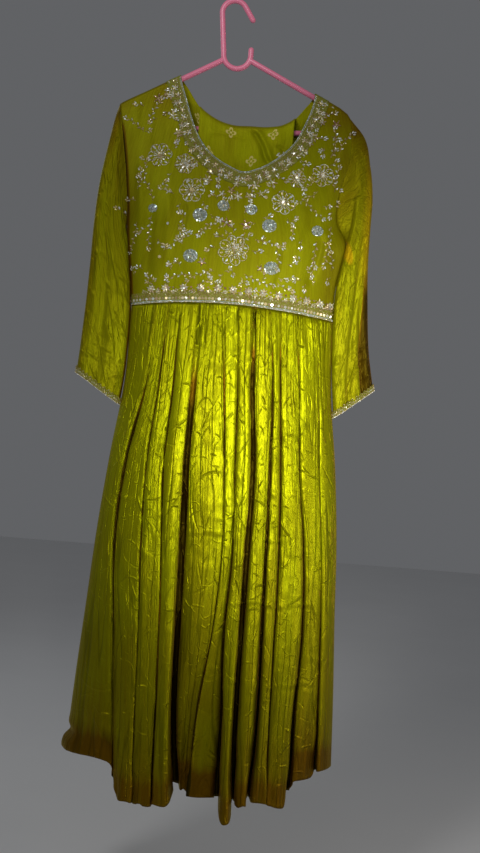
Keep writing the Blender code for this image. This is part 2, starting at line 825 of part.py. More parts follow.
def main():
    clear_scene()
    cloth = material_for("shot_silk", LEAF_GREEN, 0.42)
    worked = material_for("embroidered_border", BORDER_GOLD, 0.5)
    plastic = material_for("pink_plastic", HANGER_PINK, 0.3)
    add_hanger(plastic)
    front = add_bodice_front(cloth, worked)
    back = add_bodice_back(cloth)
    add_sleeve("sleeve_left", front, back, 0, 1.0, LEFT_OUTER, LEFT_INNER, LEFT_THICKNESS, cloth, worked)
    add_sleeve("sleeve_right", front, back, -1, -1.0, RIGHT_OUTER, RIGHT_INNER, RIGHT_THICKNESS, cloth, worked)
    front_shape = (FRONT_VALLEYS, FRONT_LOBES, FRONT_HEM_VALLEYS, FRONT_HEM_LOBES)
    back_shape = (BACK_VALLEYS, BACK_LOBES, BACK_HEM_VALLEYS, BACK_HEM_LOBES)
    add_skirt("skirt_front", -1.0, *front_shape, FRONT_SKIRT_ROWS, cloth)
    add_skirt("skirt_back", 1.0, *back_shape, BACK_SKIRT_ROWS, cloth)


main()
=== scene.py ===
"""Looks of an anarkali gown of crushed shot silk, hanging on a moulded tubular hanger.

Sizes in the tables are millimetres in the row frame: +X to the viewer's right, the
gown's front towards -Y, +Z up, origin inside the top of the hanger's hook.
"""

import math
from functools import partial

import bpy
import numpy as np
from bpy.props import FloatProperty, FloatVectorProperty, IntProperty, PointerProperty
from bpy.types import Operator, Panel, PropertyGroup
from mathutils import Matrix, Vector


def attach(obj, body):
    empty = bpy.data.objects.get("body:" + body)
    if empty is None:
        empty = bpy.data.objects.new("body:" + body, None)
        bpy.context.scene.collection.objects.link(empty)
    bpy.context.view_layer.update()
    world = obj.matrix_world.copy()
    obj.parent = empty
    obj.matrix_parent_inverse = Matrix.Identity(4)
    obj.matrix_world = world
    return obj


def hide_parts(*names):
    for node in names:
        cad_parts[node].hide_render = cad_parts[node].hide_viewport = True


bl_info = {
    "name": "Hanging Anarkali Gown",
    "version": (1, 0, 0),
    "blender": (4, 5, 0),
    "location": "3D View > Sidebar > Gown",
    "description": "Builds a gathered silk gown with bead work, hanging on its hanger",
    "category": "Object",
}

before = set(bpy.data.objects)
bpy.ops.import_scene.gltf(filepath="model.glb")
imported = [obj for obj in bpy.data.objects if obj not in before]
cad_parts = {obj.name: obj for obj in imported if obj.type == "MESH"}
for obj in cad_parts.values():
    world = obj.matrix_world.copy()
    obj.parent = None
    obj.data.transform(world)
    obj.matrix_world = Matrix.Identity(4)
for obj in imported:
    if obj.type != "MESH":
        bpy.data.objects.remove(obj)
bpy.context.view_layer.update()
MM = 0.001

# Columns and rows of the sheets
FRONT_GRID = (190, 124)
BACK_GRID = (160, 100)
BACK_NECK_GRID = (150, 3)
FLAP_ROWS = 60
SKIRT_ROWS = 200
FRONT_LOBE_COLUMNS = 19
BACK_LOBE_COLUMNS = 22
SLEEVE_GRID = (124, 156)
NECK_BAND_GRID = (220, 12)
WAIST_BAND_GRID = (200, 12)
CUFF_GRID = (264, 9)
TUBE_SIDES = 28

# --- Sizes of the cut and of the hang, in millimetres ------------------------------

# Sides of the bodice: height, left edge, right edge
BODICE_SIDES = np.array((
    (-560.0, -146.0, 218.0), (-500.0, -153.0, 218.0), (-450.0, -161.0, 227.0),
    (-418.0, -165.0, 231.0), (-384.0, -166.0, 210.0), (-348.0, -170.0, 208.0),
    (-315.0, -174.0, 213.0), (-278.0, -180.0, 223.0), (-238.0, -187.0, 225.0),
    (-196.0, -194.0, 222.0), (-130.0, -194.0, 222.0),
))
# Shoulder seams: x, height
LEFT_SHOULDER = (
    (-194.0, -196.0), (-190.5, -193.4), (-180.0, -187.0), (-150.0, -170.6), (-114.0, -150.2),
    (-90.0, -136.6),
)
RIGHT_SHOULDER = (
    (154.0, -150.6), (177.0, -161.6), (200.0, -172.7), (215.0, -183.0), (222.0, -193.0),
)
# Free edge of the front neck: x, height
FRONT_NECK = (
    (-90.0, -136.6), (-86.0, -150.0), (-78.0, -172.0), (-67.0, -202.0), (-56.0, -230.0),
    (-41.0, -257.0), (-18.0, -281.0), (10.0, -297.0), (35.5, -306.0), (64.0, -297.0),
    (94.0, -277.0), (122.0, -247.0), (139.0, -210.0), (149.0, -182.0), (153.0, -162.0),
    (154.0, -150.6),
)
# Fold of the slack back neck: x, height
BACK_NECK = (
    (-90.0, -136.6), (-84.0, -146.0), (-76.0, -156.0), (-50.0, -190.0), (-22.0, -209.0),
    (10.0, -218.6), (42.0, -218.4), (76.0, -217.2), (102.0, -211.0), (121.0, -198.0),
    (138.0, -177.0), (151.0, -158.0), (154.0, -150.6),
)
# The slack that turns down over the hanger's bar: its sides and its length
FLAP_SIDES = (-50.0, 121.0)
FLAP_DROP = 92.0
# Half depth of the armhole: height, depth
ARMHOLE_DEPTHS = (
    (-418.0, 0.2), (-384.0, 9.5), (-338.0, 13.0), (-277.0, 12.0), (-216.0, 9.0), (-204.0, 7.8),
)
# Depth of the body at its middle: height, front, back
BODY_DEPTHS = (
    (-560.0, 48.0, 38.0), (-500.0, 46.0, 35.0), (-400.0, 40.0, 29.0), (-300.0, 26.0, 20.0),
    (-200.0, 12.0, 11.0), (-137.0, 7.8, 7.8),
)
WAIST_SEAM = (
    (-146.0, -558.0), (-60.0, -549.0), (36.0, -546.0), (130.0, -551.0), (218.0, -560.0),
)
BODICE_LOW = -560.0
ARMPIT = -418.0
SLEEVE_TIPS = (-196.0, -193.0)
LEAST_DEPTH = 0.2
DRAPE_HEIGHT = 7.7
DRAPE_DEPTH = 7.8
ROUNDNESS = 2.3

# Skirt stations: share of the drop, left side, right side, front depth, back depth
SKIRT_STATIONS = np.array((
    (0.0, -146.0, 218.0, 48.0, 38.0), (0.17, -148.0, 226.0, 66.0, 50.0),
    (0.33, -163.0, 243.0, 80.0, 60.0), (0.5, -176.0, 256.0, 92.0, 70.0),
    (0.67, -185.0, 263.0, 104.0, 80.0), (0.84, -194.0, 271.0, 114.0, 90.0),
    (1.0, -201.0, 277.0, 122.0, 100.0),
))
# Skirt valleys: half width of the floor, x at each station, depth at each station
FRONT_VALLEYS = (
    (1.0, (-96, -105, -130, -139, -128, -116, -103), (0, 3, 10, 14, 14, 20, 26)),
    (1.0, (-75, -82, -92, -89, -81, -75, -70), (0, 8, 10, 8, 8, 12, 16)),
    (1.0, (-56, -56, -61, -53, -45, -40, -36), (0, 10, 12, 6, 4, 6, 8)),
    (5.0, (-18, -21, -22, -18, -15, -11, 2), (0, 4, 12, 30, 38, 46, 50)),
    (1.0, (21, 33, 44, 52, 46, 30, 26), (0, 4, 8, 10, 12, 8, 6)),
    (1.0, (47, 57, 63, 70, 66, 73, 75), (0, 8, 12, 12, 16, 30, 40)),
    (4.5, (76, 84, 95, 96, 96, 97, 103), (0, 8, 12, 18, 28, 40, 48)),
    (1.5, (105, 118, 124, 128, 132, 136, 132), (0, 8, 12, 14, 30, 44, 44)),
    (1.0, (121, 132, 143, 151, 154, 156, 160), (0, 10, 16, 20, 16, 6, 4)),
    (1.5, (151, 166, 176, 194, 202, 198, 200), (0, 8, 12, 18, 24, 30, 30)),
    (1.0, (187, 201, 211, 225, 235, 241, 246), (0, 3, 8, 8, 12, 16, 18)),
)
FRONT_LOBES = (0, 4, 2, 6, -24, -20, 10, 4, 4, 2, -10, 0)
FRONT_HEM_VALLEYS = (
    -1347, -1384, -1418, -1416, -1388, -1396, -1402, -1404, -1392, -1398, -1388, -1352, -1354,
)
FRONT_HEM_LOBES = (
    -1350, -1414, -1420, -1416, -1392, -1400, -1434, -1404, -1398, -1406, -1366, -1352,
)
# How rusty each front lobe is near the hem, 0 to 1
FRONT_RUST = (0.35, 0.15, 0.15, 0.2, 0.75, 0.6, 0.15, 0.2, 0.15, 0.25, 0.85, 0.3)
BACK_VALLEYS = (
    (1.5, (-104, -110, -118, -124, -128, -132, -136), (0, 6, 12, 16, 20, 24, 26)),
    (1.5, (-62, -66, -72, -76, -82, -80, -84), (0, 8, 10, 14, 22, 28, 30)),
    (3.0, (-20, -24, -20, -26, -22, -28, -26), (0, 6, 14, 22, 28, 34, 38)),
    (1.5, (22, 24, 30, 34, 36, 32, 38), (0, 8, 12, 14, 20, 26, 30)),
    (3.0, (70, 74, 80, 88, 92, 96, 98), (0, 6, 14, 20, 30, 36, 38)),
    (1.5, (118, 122, 132, 140, 150, 152, 158), (0, 8, 12, 18, 22, 26, 30)),
    (1.5, (170, 178, 188, 198, 204, 212, 216), (0, 6, 10, 14, 18, 22, 24)),
)
BACK_LOBES = (0, 2, 6, 0, 6, 0, 2, 0)
BACK_HEM_VALLEYS = (-1347, -1376, -1396, -1404, -1398, -1402, -1394, -1374, -1354)
BACK_HEM_LOBES = (-1362, -1390, -1408, -1410, -1412, -1406, -1392, -1360)
BACK_RUST = (0.3, 0.2, 0.5, 0.2, 0.4, 0.2, 0.5, 0.3)

# Sleeves: outer fold x, y, height; inner seam x, y, height; half thickness
LEFT_SLEEVE = (
    (-200, 0, -216, -166.5, 0, -424, 9), (-211, 0, -276, -162.7, 0, -440, 10),
    (-220, 0, -336, -159.5, 0, -462, 10.5), (-225, 0, -410, -155.3, -1, -490, 11),
    (-226, -1, -480, -150.5, -2, -530, 11.5), (-228, -2, -553, -147.5, -3, -580, 12),
    (-231, -3, -620, -148.3, -4, -640, 13), (-234, -4, -670, -151.7, -5, -721, 14),
    (-235, -4, -683, -153.3, -5, -736, 14.5),
)
RIGHT_SLEEVE = (
    (247, 1, -220, 234, 0, -423, 11), (264, 3, -275, 230.3, 0, -436, 12),
    (272, 5, -325, 227.1, -1, -456, 12.5), (273, 7, -385, 221.9, -2, -484, 12.5),
    (274, 10, -450, 219.3, -3, -524, 13), (279, 13, -520, 219.9, -5, -576, 13.5),
    (286, 16, -590, 223.5, -6, -636, 14), (299, 20, -660, 229.7, -7, -716, 15),
    (302, 21, -674, 231.3, -7, -730, 15.5),
)

# Share of the way down of each of a sleeve's rings, the armhole's first
SLEEVE_KNOTS = (0.0, 0.05, 0.14, 0.24, 0.37, 0.5, 0.64, 0.78, 0.975, 1.0)
ARMHOLE_THICKNESS = 9.0
# Middle of the painted highlight on the fold below the right armhole: x, height
HIGHLIGHT_FOLD = (233.0, -432.0)

# Creases laid into the bodice: x and height of both ends, half width, depth
BODICE_CREASES = (
    (186, -420, 168, -500, 7.0, -3.5), (214, -430, 206, -545, 6.0, -4.0),
    (190, -395, 196, -470, 8.0, 2.5), (-62, -372, -58, -425, 3.0, -1.6),
    (-150, -300, -140, -520, 7.0, 2.2), (-128, -330, -116, -510, 8.0, -1.8),
    (-172, -250, -150, -400, 9.0, -2.0), (-96, -350, -84, -480, 9.0, 1.6),
    (150, -360, 140, -440, 8.0, 1.8), (118, -440, 112, -520, 6.0, -1.5),
    (-20, -500, -24, -545, 5.0, 1.4), (70, -495, 64, -545, 5.0, -1.2),
    (205, -240, 186, -330, 8.0, -2.4), (214, -215, 206, -300, 7.0, 2.0),
    (-180, -215, -168, -300, 7.0, 1.6),
)
# Creases in the turned-down slack of the back neck
FLAP_CREASES = (
    (46, -226, 82, -285, 3.6, -4.5), (54, -226, 92, -285, 5.0, 2.5),
    (92, -252, 118, -272, 3.0, -2.0), (-30, -238, 40, -242, 4.0, 0.8),
)
# Sideways creases pressed into the skirt: x of both ends, height, depth
SKIRT_CREASES = (
    (-146, -70, -898, 1.6), (66, 92, -930, 1.5), (-8, 50, -948, 1.4), (128, 152, -950, 1.6),
    (84, 214, -1062, 1.7), (20, 46, -1190, 1.5), (86, 104, -1194, 1.4), (148, 224, -1200, 1.8),
    (-10, 40, -1320, 1.5), (-110, -60, -1300, 1.2), (160, 190, -1330, 1.4),
)

# Hanger
TUBE_RADIUS = 4.9
HANGER_TILT_DEG = 2.0
HANGER_HALF_WIDTH = 193.5
ARM_SLOPE_DEG = 27.6
BAR_DROP = 136.0
LOOP_CENTRE = (8.6, -92.7)
LOOP_RADIUS = 24.4
CROOK_CENTRE = (-1.5, -17.5)
CROOK_RADIUS = 22.4
CROOK_END_DEG = 33.0
CROOK_TIP_LENGTH = 27.0
STUB_HEIGHT = 11.0
# How far along its radius each ring of a tube's rounded end lies
CAP_SHARES = (1.0, 0.92, 0.7, 0.38)

# Bead work. Flowers: x, height, reach, petals, colour family
FLOWERS = (
    (-114, -287, 21, 6, "silver"), (-52, -347, 22, 6, "silver"), (112, -357, 21, 6, "silver"),
    (178, -301, 20, 6, "silver"), (30, -450, 27, 8, "silver"), (-68, -300, 18, 7, "champagne"),
    (133, -312, 16, 6, "champagne"), (-34, -391, 15, 7, "steel"), (90, -401, 15, 8, "steel"),
    (99, -476, 16, 8, "steel"), (-45, -465, 14, 7, "steel"), (176, -402, 13, 7, "steel"),
    (-119, -384, 10, 5, "steel"), (6, -371, 12, 6, "steel"), (30, -352, 11, 6, "champagne"),
    (56, -374, 11, 6, "steel"), (-105, -176, 12, 6, "champagne"),
    (-98, -213, 11, 5, "champagne"), (-84, -244, 12, 6, "champagne"),
    (169, -192, 12, 6, "champagne"), (157, -233, 12, 6, "champagne"),
    (140, -262, 12, 6, "champagne"), (-126, -184, 11, 5, "rose"), (196, -206, 10, 5, "rose"),
    (14, -401, 12, 5, "rose"), (48, -402, 12, 5, "rose"), (-24, -474, 10, 5, "rose"),
    (80, -478, 8, 5, "rose"), (-26, -326, 11, 6, "champagne"), (60, -330, 12, 6, "champagne"),
    (90, -322, 10, 5, "champagne"), (14, -318, 9, 5, "champagne"), (38, -322, 10, 6, "silver"),
    (-6, -308, 8, 5, "rose"), (76, -308, 8, 5, "rose"), (18, -342, 9, 5, "rose"),
    (50, -350, 9, 5, "champagne"), (2, -350, 9, 5, "champagne"), (70, -344, 8, 5, "champagne"),
)
# Sprigs: x and height of the stem's foot, length, heading in degrees, bend in degrees, leaves
SPRIGS = (
    (-150, -352, 34, 70, 30, 3), (-138, -330, 30, 100, -30, 2), (-120, -372, 52, 100, 40, 5),
    (-120, -396, 58, 262, 14, 5), (-146, -408, 54, 268, -14, 5), (-165, -398, 22, 140, 20, 2),
    (-140, -230, 60, 80, -40, 5), (-146, -248, 40, 130, 30, 3), (-106, -332, 20, 300, 10, 2),
    (-64, -398, 26, 268, 6, 2), (-44, -428, 48, 20, 30, 5), (-56, -432, 30, 200, 30, 3),
    (10, -414, 34, 330, -40, 3), (48, -416, 36, 250, 40, 3), (66, -428, 50, 356, -14, 5),
    (104, -440, 36, 300, -40, 3), (0, -488, 50, 190, 26, 4), (-38, -500, 46, 170, 40, 4),
    (52, -490, 54, 330, 24, 5), (110, -500, 30, 320, 30, 3), (133, -386, 30, 268, 0, 3),
    (176, -420, 60, 262, 10, 4), (200, -390, 72, 268, -8, 6), (202, -330, 46, 96, -24, 5),
    (190, -268, 54, 70, 30, 5), (206, -256, 40, 80, -40, 4), (150, -350, 44, 310, 20, 4),
    (172, -330, 40, 230, -30, 3), (150, -282, 26, 220, 20, 3), (16, -382, 22, 100, 20, 2),
    (44, -384, 22, 80, -20, 2), (-14, -404, 28, 220, 20, 3), (-82, -356, 26, 170, -20, 3),
    (-30, -516, 24, 20, 20, 3), (20, -518, 22, 150, 20, 3), (176, -500, 28, 100, 20, 3),
    (206, -470, 30, 84, 20, 3),
)
# Lone twigs between the flowers: x, height, heading
TWIGS = (
    (-12, -340, 60), (-4, -362, 120), (20, -340, 250), (44, -344, 290), (70, -352, 40),
    (76, -388, 10), (28, -420, 92), (14, -430, 150), (46, -430, 30), (-2, -446, 190),
    (62, -448, 350), (30, -478, 268), (16, -492, 230), (46, -496, 310), (-16, -388, 320),
    (0, -414, 60), (66, -398, 200), (-70, -372, 250), (-90, -318, 230), (-130, -300, 150),
    (-92, -276, 60), (-40, -320, 300), (120, -384, 300), (96, -336, 130), (196, -318, 60),
    (160, -320, 200), (190, -282, 30), (150, -420, 250), (172, -452, 280), (126, -468, 10),
    (-66, -480, 170), (-60, -446, 120), (-20, -486, 300), (-128, -420, 200), (-106, -438, 300),
    (-150, -372, 160), (84, -500, 60), (112, -492, 340), (-84, -520, 80), (140, -524, 100),
    (-124, -220, 200), (-150, -200, 160), (188, -228, 330), (178, -250, 250), (-116, -160, 120),
    (180, -176, 20),
)
WAIST_FLOWER_XS = (-110, -84, -52, -22, 8, 35, 62, 88, 116, 142, 166, 190, 209)
NECK_BAND_WIDTH = 23.0
WAIST_BAND_HEIGHT = 20.0
WAIST_BAND_ENDS = (-145.5, 217.0)
CUFF_TEETH = 30
CUFF_TOP_SHARE = 0.972
# Rows of beads on the cuff lace: share of its height, size, colour family
CUFF_ROWS = ((0.04, 0.95, "silver"), (0.2, 0.7, "gold"), (0.93, 0.8, "gold"))
LONE_MIRRORS = (
    (-60, -330), (-20, -356), (80, -350), (150, -330), (-90, -410), (60, -520), (-100, -470),
    (120, -430),
)

# Kinds of bead
ROUND, SEQUIN, LEAF = 0, 1, 2
STEM_STEP = 2.1
BEAD_COLOURS = {
    "silver": ((0.86, 0.86, 0.80), (0.74, 0.72, 0.60), (0.72, 0.58, 0.28)),
    "champagne": ((0.72, 0.62, 0.36), (0.70, 0.68, 0.46), (0.52, 0.38, 0.20)),
    "steel": ((0.36, 0.44, 0.46), (0.52, 0.58, 0.56), (0.26, 0.32, 0.34)),
    "rose": ((0.44, 0.22, 0.12), (0.52, 0.34, 0.20), (0.34, 0.17, 0.09)),
    "gold": ((0.36, 0.23, 0.06), (0.28, 0.17, 0.05), (0.62, 0.52, 0.24)),
    "ice": ((0.62, 0.74, 0.76), (0.80, 0.84, 0.80), (0.46, 0.58, 0.60)),
}

# Finishes. Crush marks: scale, turn, sharpness, share of the height
CRUSH_LAYERS = (((33.0, 22.0, 1.0), 0.5, 19.0, 0.9), ((62.0, 44.0, 1.0), -0.4, 12.0, 0.6))
SILK_RELIEF = 0.0011
# Rust mask value above which the silk is darkened as painted shade
PAINTED_SHADE_FROM = 1.6
# Colour of the painted highlight and sheen on the right sleeve
HIGHLIGHT_AMBER = (0.52, 0.33, 0.003, 1.0)
MOTIF_GOLD = (0.62, 0.52, 0.16, 1.0)

# Stage, in metres. Lights: name, kind, place, target, size, cone in degrees, share of the
# key light's power, colour
LIGHTS = (
    ("key", "SPOT", (0.34, -2.5, -0.35), (0.2, 0, -0.765), 0.16, 22.5, 1.0, (1, 0.99, 0.93)),
    ("top", "AREA", (-0.9, -1.7, 0.7), (-0.05, 0, -0.5), 0.5, None, 0.046, (1, 1, 1)),
    ("hook", "SPOT", (-0.3, -1.6, 0.5), (0, 0, -0.07), 0.1, 13.0, 0.15, (1, 1, 1)),
    ("side", "AREA", (1.7, -0.75, -0.9), (0.05, 0, -1.2), 0.6, None, 0.034, (1, 0.93, 0.85)),
    ("rim", "AREA", (-1.6, 1.4, 0.3), (0, 0, -0.7), 1.2, None, 0.02, (0.9, 0.95, 1)),
)
FLOOR_REACH = 6.0
FLOOR_HEIGHT = -1.62
CAMERA_PLACE = (0.066, -2.2, -0.759)
CAMERA_ANGLE_DEG = 38.5


# --- Curves, noise and grids ---------------------------------------------------------


def smooth(at, places, values):
    """Smooth curve through a table's points."""
    places = np.asarray(places, float)
    values = np.asarray(values, float)
    at = np.clip(np.asarray(at, float), places[0], places[-1])
    slopes = np.gradient(values, places)
    i = np.clip(np.searchsorted(places, at, side="right") - 1, 0, len(places) - 2)
    span = places[i + 1] - places[i]
    t = (at - places[i]) / span
    a = (2 * t**3 - 3 * t**2 + 1) * values[i]
    b = (t**3 - 2 * t**2 + t) * span * slopes[i]
    c = (-2 * t**3 + 3 * t**2) * values[i + 1]
    d = (t**3 - t**2) * span * slopes[i + 1]
    return a + b + c + d


def read(table, at, column=1):
    """Smooth reading of one column of a table, at places in its first column."""
    table = np.asarray(table, float)
    return smooth(at, table[:, 0], table[:, column])


def ease(low, high, at):
    t = np.clip((at - low) / (high - low), 0.0, 1.0)
    return t * t * (3.0 - 2.0 * t)


def bell(off, width):
    """One in the middle, fading alike to both sides."""
    return np.exp(-((off / width) ** 2))


def seam_hold(share, rate):
    """Nothing at either side of a panel, and one a little way in."""
    return np.clip(np.minimum(share, 1.0 - share) * rate, 0.0, 1.0)


def noise(u, v, seed):
    """Smooth random heights between -1 and 1 over a plane."""
    size = 128
    table = np.random.default_rng(seed).uniform(-1.0, 1.0, (size, size))
    iu = np.floor(u).astype(int)
    iv = np.floor(v).astype(int)
    fu = u - iu
    fv = v - iv
    fu = fu * fu * (3.0 - 2.0 * fu)
    fv = fv * fv * (3.0 - 2.0 * fv)
    a, b, c, d = (table[(iu + i) % size, (iv + j) % size] for j in (0, 1) for i in (0, 1))
    return (a * (1 - fu) + b * fu) * (1 - fv) + (c * (1 - fu) + d * fu) * fv


def crush(u, v, seed, count, size, spread):
    """Sharp little ridges left where the silk was crushed, at random places and angles."""
    random = np.random.default_rng(seed)
    u, v = np.broadcast_arrays(u, v)
    total = np.zeros(u.shape)
    lows = (u.min(), v.min())
    reach = (np.ptp(u), np.ptp(v))
    for _ in range(count):
        at_u = lows[0] + reach[0] * random.uniform()
        at_v = lows[1] + reach[1] * random.uniform()
        angle = random.normal(0.0, spread)
        length = size * random.uniform(0.4, 1.0)
        height = random.choice((-0.7, 0.8, 1.2)) * random.uniform(0.5, 1.0)
        bend = random.uniform(-0.25, 0.25) * length
        near = (np.abs(u - at_u) < length) & (np.abs(v - at_v) < length)
        if not near.any():
            continue
        du, dv = u[near] - at_u, v[near] - at_v
        along = (du * math.sin(angle) + dv * math.cos(angle)) / length
        off = du * math.cos(angle) - dv * math.sin(angle) - bend * (along**2 - 0.3)
        fade = np.clip(1.0 - np.abs(along) * 1.6, 0.0, 1.0) ** 0.6
        total[near] += height * fade * np.exp(-np.abs(off) / (0.035 * size + 1.6))
    return total


def pleats(u, v, seed):
    """Fine upright crinkles of uneven width."""
    wide = noise(u / 11.0, v / 240.0, seed)
    fine = noise(u / 5.2 + 0.8 * noise(u / 30.0, v / 160.0, seed + 1), v / 120.0, seed + 2)
    return 1.3 * wide + 0.75 * fine


def crease_relief(x, z, creases):
    """Soft troughs and ridges along straight lines; towards the viewer is positive."""
    total = np.zeros_like(x)
    for x0, z0, x1, z1, half_width, depth in creases:
        dx, dz = x1 - x0, z1 - z0
        size = math.hypot(dx, dz)
        along = ((x - x0) * dx + (z - z0) * dz) / size**2
        off = ((x - x0) * dz - (z - z0) * dx) / size
        off = off + 2.0 * np.sin(along * 5.0)
        fade = bell(np.clip(np.abs(along - 0.5) - 0.36, 0.0, None), 0.12)
        total += depth * fade * bell(off, half_width)
    return total


def grid_normals(points, closed):
    if closed:
        wrapped = np.concatenate([points[:, -1:], points, points[:, :1]], axis=1)
        across = np.gradient(wrapped, axis=1)[:, 1:-1]
    else:
        across = np.gradient(points, axis=1)
    down = np.gradient(points, axis=0)
    normal = np.cross(down, across)
    size = np.linalg.norm(normal, axis=2, keepdims=True)
    return normal / np.maximum(size, 1e-9)


def arc_lengths(points):
    """Distance along the cloth, across and down, of every point of a grid."""
    steps = np.linalg.norm(np.diff(points, axis=1), axis=2)
    across = np.concatenate([np.zeros((len(points), 1)), np.cumsum(steps, axis=1)], axis=1)
    steps = np.linalg.norm(np.diff(points, axis=0), axis=2)
    down = np.concatenate([np.zeros((1, points.shape[1])), np.cumsum(steps, axis=0)], axis=0)
    return across, down


def centred(points):
    """The same distances, with those across counted from the middle of each row."""
    across, down = arc_lengths(points)
    return across - across[:, len(across[0]) // 2][:, None], down


def cloth_places(across, down):
    return np.stack([across, -down], axis=-1)


def add_object(name, data):
    made = bpy.data.objects.new(name, data)
    bpy.context.scene.collection.objects.link(made)
    return made


def store(mesh, name, kind, field, values):
    """A value at every point of a mesh, under the name that its finish reads."""
    data = np.asarray(values, np.int32 if kind == "INT" else np.float32)
    mesh.attributes.new(name, kind, "POINT").data.foreach_set(field, data.ravel())


def mesh_from_grids(name, grids, closed=False, highlight_at=None):
    """One mesh from grids of points in mm, places on the cloth in mm, and rust with painted shade.

    Rust is 0 to 1, and a higher value past the finish's threshold paints shade: the dark floor of a
    fold, and the shadow along a seam or on a lobe turned away.
    """
    quads = []
    start = 0
    for points, _, _ in grids:
        rows, wide = points.shape[:2]
        last = wide if closed else wide - 1
        row, column = np.meshgrid(np.arange(rows - 1), np.arange(last), indexing="ij")
        after = (column + 1) % wide
        above, below = start + row * wide, start + (row + 1) * wide
        corners = (above + column, below + column, below + after, above + after)
        quads.append(np.stack(corners, axis=-1).reshape(-1, 4))
        start += rows * wide
    quads = np.concatenate(quads)
    verts = np.concatenate([points.reshape(-1, 3) * MM for points, _, _ in grids])
    uvs = np.concatenate([uv.reshape(-1, 2) * MM for _, uv, _ in grids])
    mesh = bpy.data.meshes.new(name)
    mesh.vertices.add(len(verts))
    mesh.vertices.foreach_set("co", verts.astype(np.float32).ravel())
    mesh.loops.add(quads.size)
    mesh.loops.foreach_set("vertex_index", quads.astype(np.int32).ravel())
    mesh.polygons.add(len(quads))
    mesh.polygons.foreach_set("loop_start", np.arange(0, quads.size, 4, dtype=np.int32))
    mesh.update(calc_edges=True)
    layer = mesh.uv_layers.new(name="cloth")
    layer.data.foreach_set("uv", uvs[quads.ravel()].astype(np.float32).ravel())
    rust = np.concatenate([rust.reshape(-1) for _, _, rust in grids])
    store(mesh, "rust", "FLOAT", "value", rust)
    amber = np.zeros(len(verts)) if highlight_at is None else highlight_at(verts / MM)
    store(mesh, "amber", "FLOAT", "value", amber)
    mesh.polygons.foreach_set("use_smooth", np.ones(len(quads), bool))
    mesh.validate()
    return add_object(name, mesh)


def finish_cloth(piece, material, replaced, wall=1.1):
    """Gives the sheet its wall, its finish and its place on the frame."""
    thick = piece.modifiers.new("cloth_wall", "SOLIDIFY")
    thick.thickness = wall * MM
    thick.offset = -1.0
    thick.use_rim = True
    piece.data.materials.append(material)
    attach(piece, "root")
    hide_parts(replaced)


# --- Bodice --------------------------------------------------------------------------


def side_x(z, column):
    return read(BODICE_SIDES, z, column)


def x_at(z, share):
    """x of a share of the way across the bodice, at a height."""
    return side_x(z, 1) + share * (side_x(z, 2) - side_x(z, 1))


def share_at(x, z):
    left = side_x(z, 1)
    return (x - left) / (side_x(z, 2) - left)


def bulge(share):
    reach = np.clip(np.abs(2.0 * share - 1.0), 0.0, 1.0)
    return np.sqrt(np.clip(1.0 - reach**ROUNDNESS, 0.0, None))


def rounding(drop):
    left = np.clip(1.0 - drop / DRAPE_HEIGHT, 0.0, 1.0)
    return np.sqrt(1.0 - left * left)


def shoulder_height(x):
    slope = math.tan(math.radians(ARM_SLOPE_DEG))
    left = np.interp(x, *np.transpose(LEFT_SHOULDER))
    right = np.interp(x, *np.transpose(RIGHT_SHOULDER))
    left = left + np.clip(x - LEFT_SHOULDER[-1][0], 0.0, None) * slope
    right = right + np.clip(RIGHT_SHOULDER[0][0] - x, 0.0, None) * slope
    return np.minimum(left, right)


def bodice_depth(x, z, column):
    """How far the cloth stands from the middle plane, front (1) or back (2)."""
    edge = np.where(z < ARMPIT, LEAST_DEPTH, read(ARMHOLE_DEPTHS, z))
    middle = read(BODY_DEPTHS, z, column)
    depth = edge + (middle - edge) * bulge(share_at(x, z))
    return np.maximum(depth * rounding(shoulder_height(x) - z), LEAST_DEPTH)


def bodice_relief(x, z):
    """Folds and crinkles of the front bodice; towards the viewer is positive."""
    hold = seam_hold(share_at(x, z), 14.0) * ease(2.0, 26.0, shoulder_height(x) - z)
    relief = crease_relief(x, z, BODICE_CREASES)
    for height, wide, high, seed in ((0.9, 34, 170, 41), (0.28, 9, 130, 42), (0.15, 16, 30, 44)):
        relief = relief + height * noise(x / wide, z / high, seed)
    relief = relief + ease(-500.0, -548.0, z) * 0.5 * noise(x / 5.0, z / 60.0, 45)
    return hold * relief


def bodice_front_y(x, z):
    return -bodice_depth(x, z, 1) - bodice_relief(x, z)


def waist_height(x):
    return read(WAIST_SEAM, x)


def outline(neck, columns):
    """x and height of the top edge of a bodice panel, at shares across it."""
    left = [share_at(*p) for p in LEFT_SHOULDER]
    middle = [share_at(*p) for p in neck]
    right = [share_at(*p) for p in RIGHT_SHOULDER]
    shares = np.array(left[:-1] + middle + right[1:], float)
    places = np.array(LEFT_SHOULDER[:-1] + neck + RIGHT_SHOULDER[1:])
    at = np.unique(np.concatenate([np.linspace(0.0, 1.0, columns), shares]))
    at = at[np.concatenate([[True], np.diff(at) > 2e-4])]
    x = np.interp(at, shares, places[:, 0])
    z = np.interp(at, shares, places[:, 1])
    inside = (at > middle[0]) & (at < middle[-1])
    z[inside] = smooth(at[inside], middle, [p[1] for p in neck])
    x[inside] = x_at(z[inside], at[inside])
    return at, x, z


def bodice_grid(neck, columns, rows):
    """x and height of a grid from a panel's top edge to the waist seam."""
    at, top_x, top_z = outline(neck, columns)
    r = np.linspace(0.0, 1.0, rows)[:, None]
    r = 0.55 * r + 0.45 * r**1.8
    low = waist_height(x_at(BODICE_LOW, at))
    z = top_z[None, :] + (low - top_z)[None, :] * r
    x = x_at(z, at[None, :])
    x[0] = top_x
    return x, z


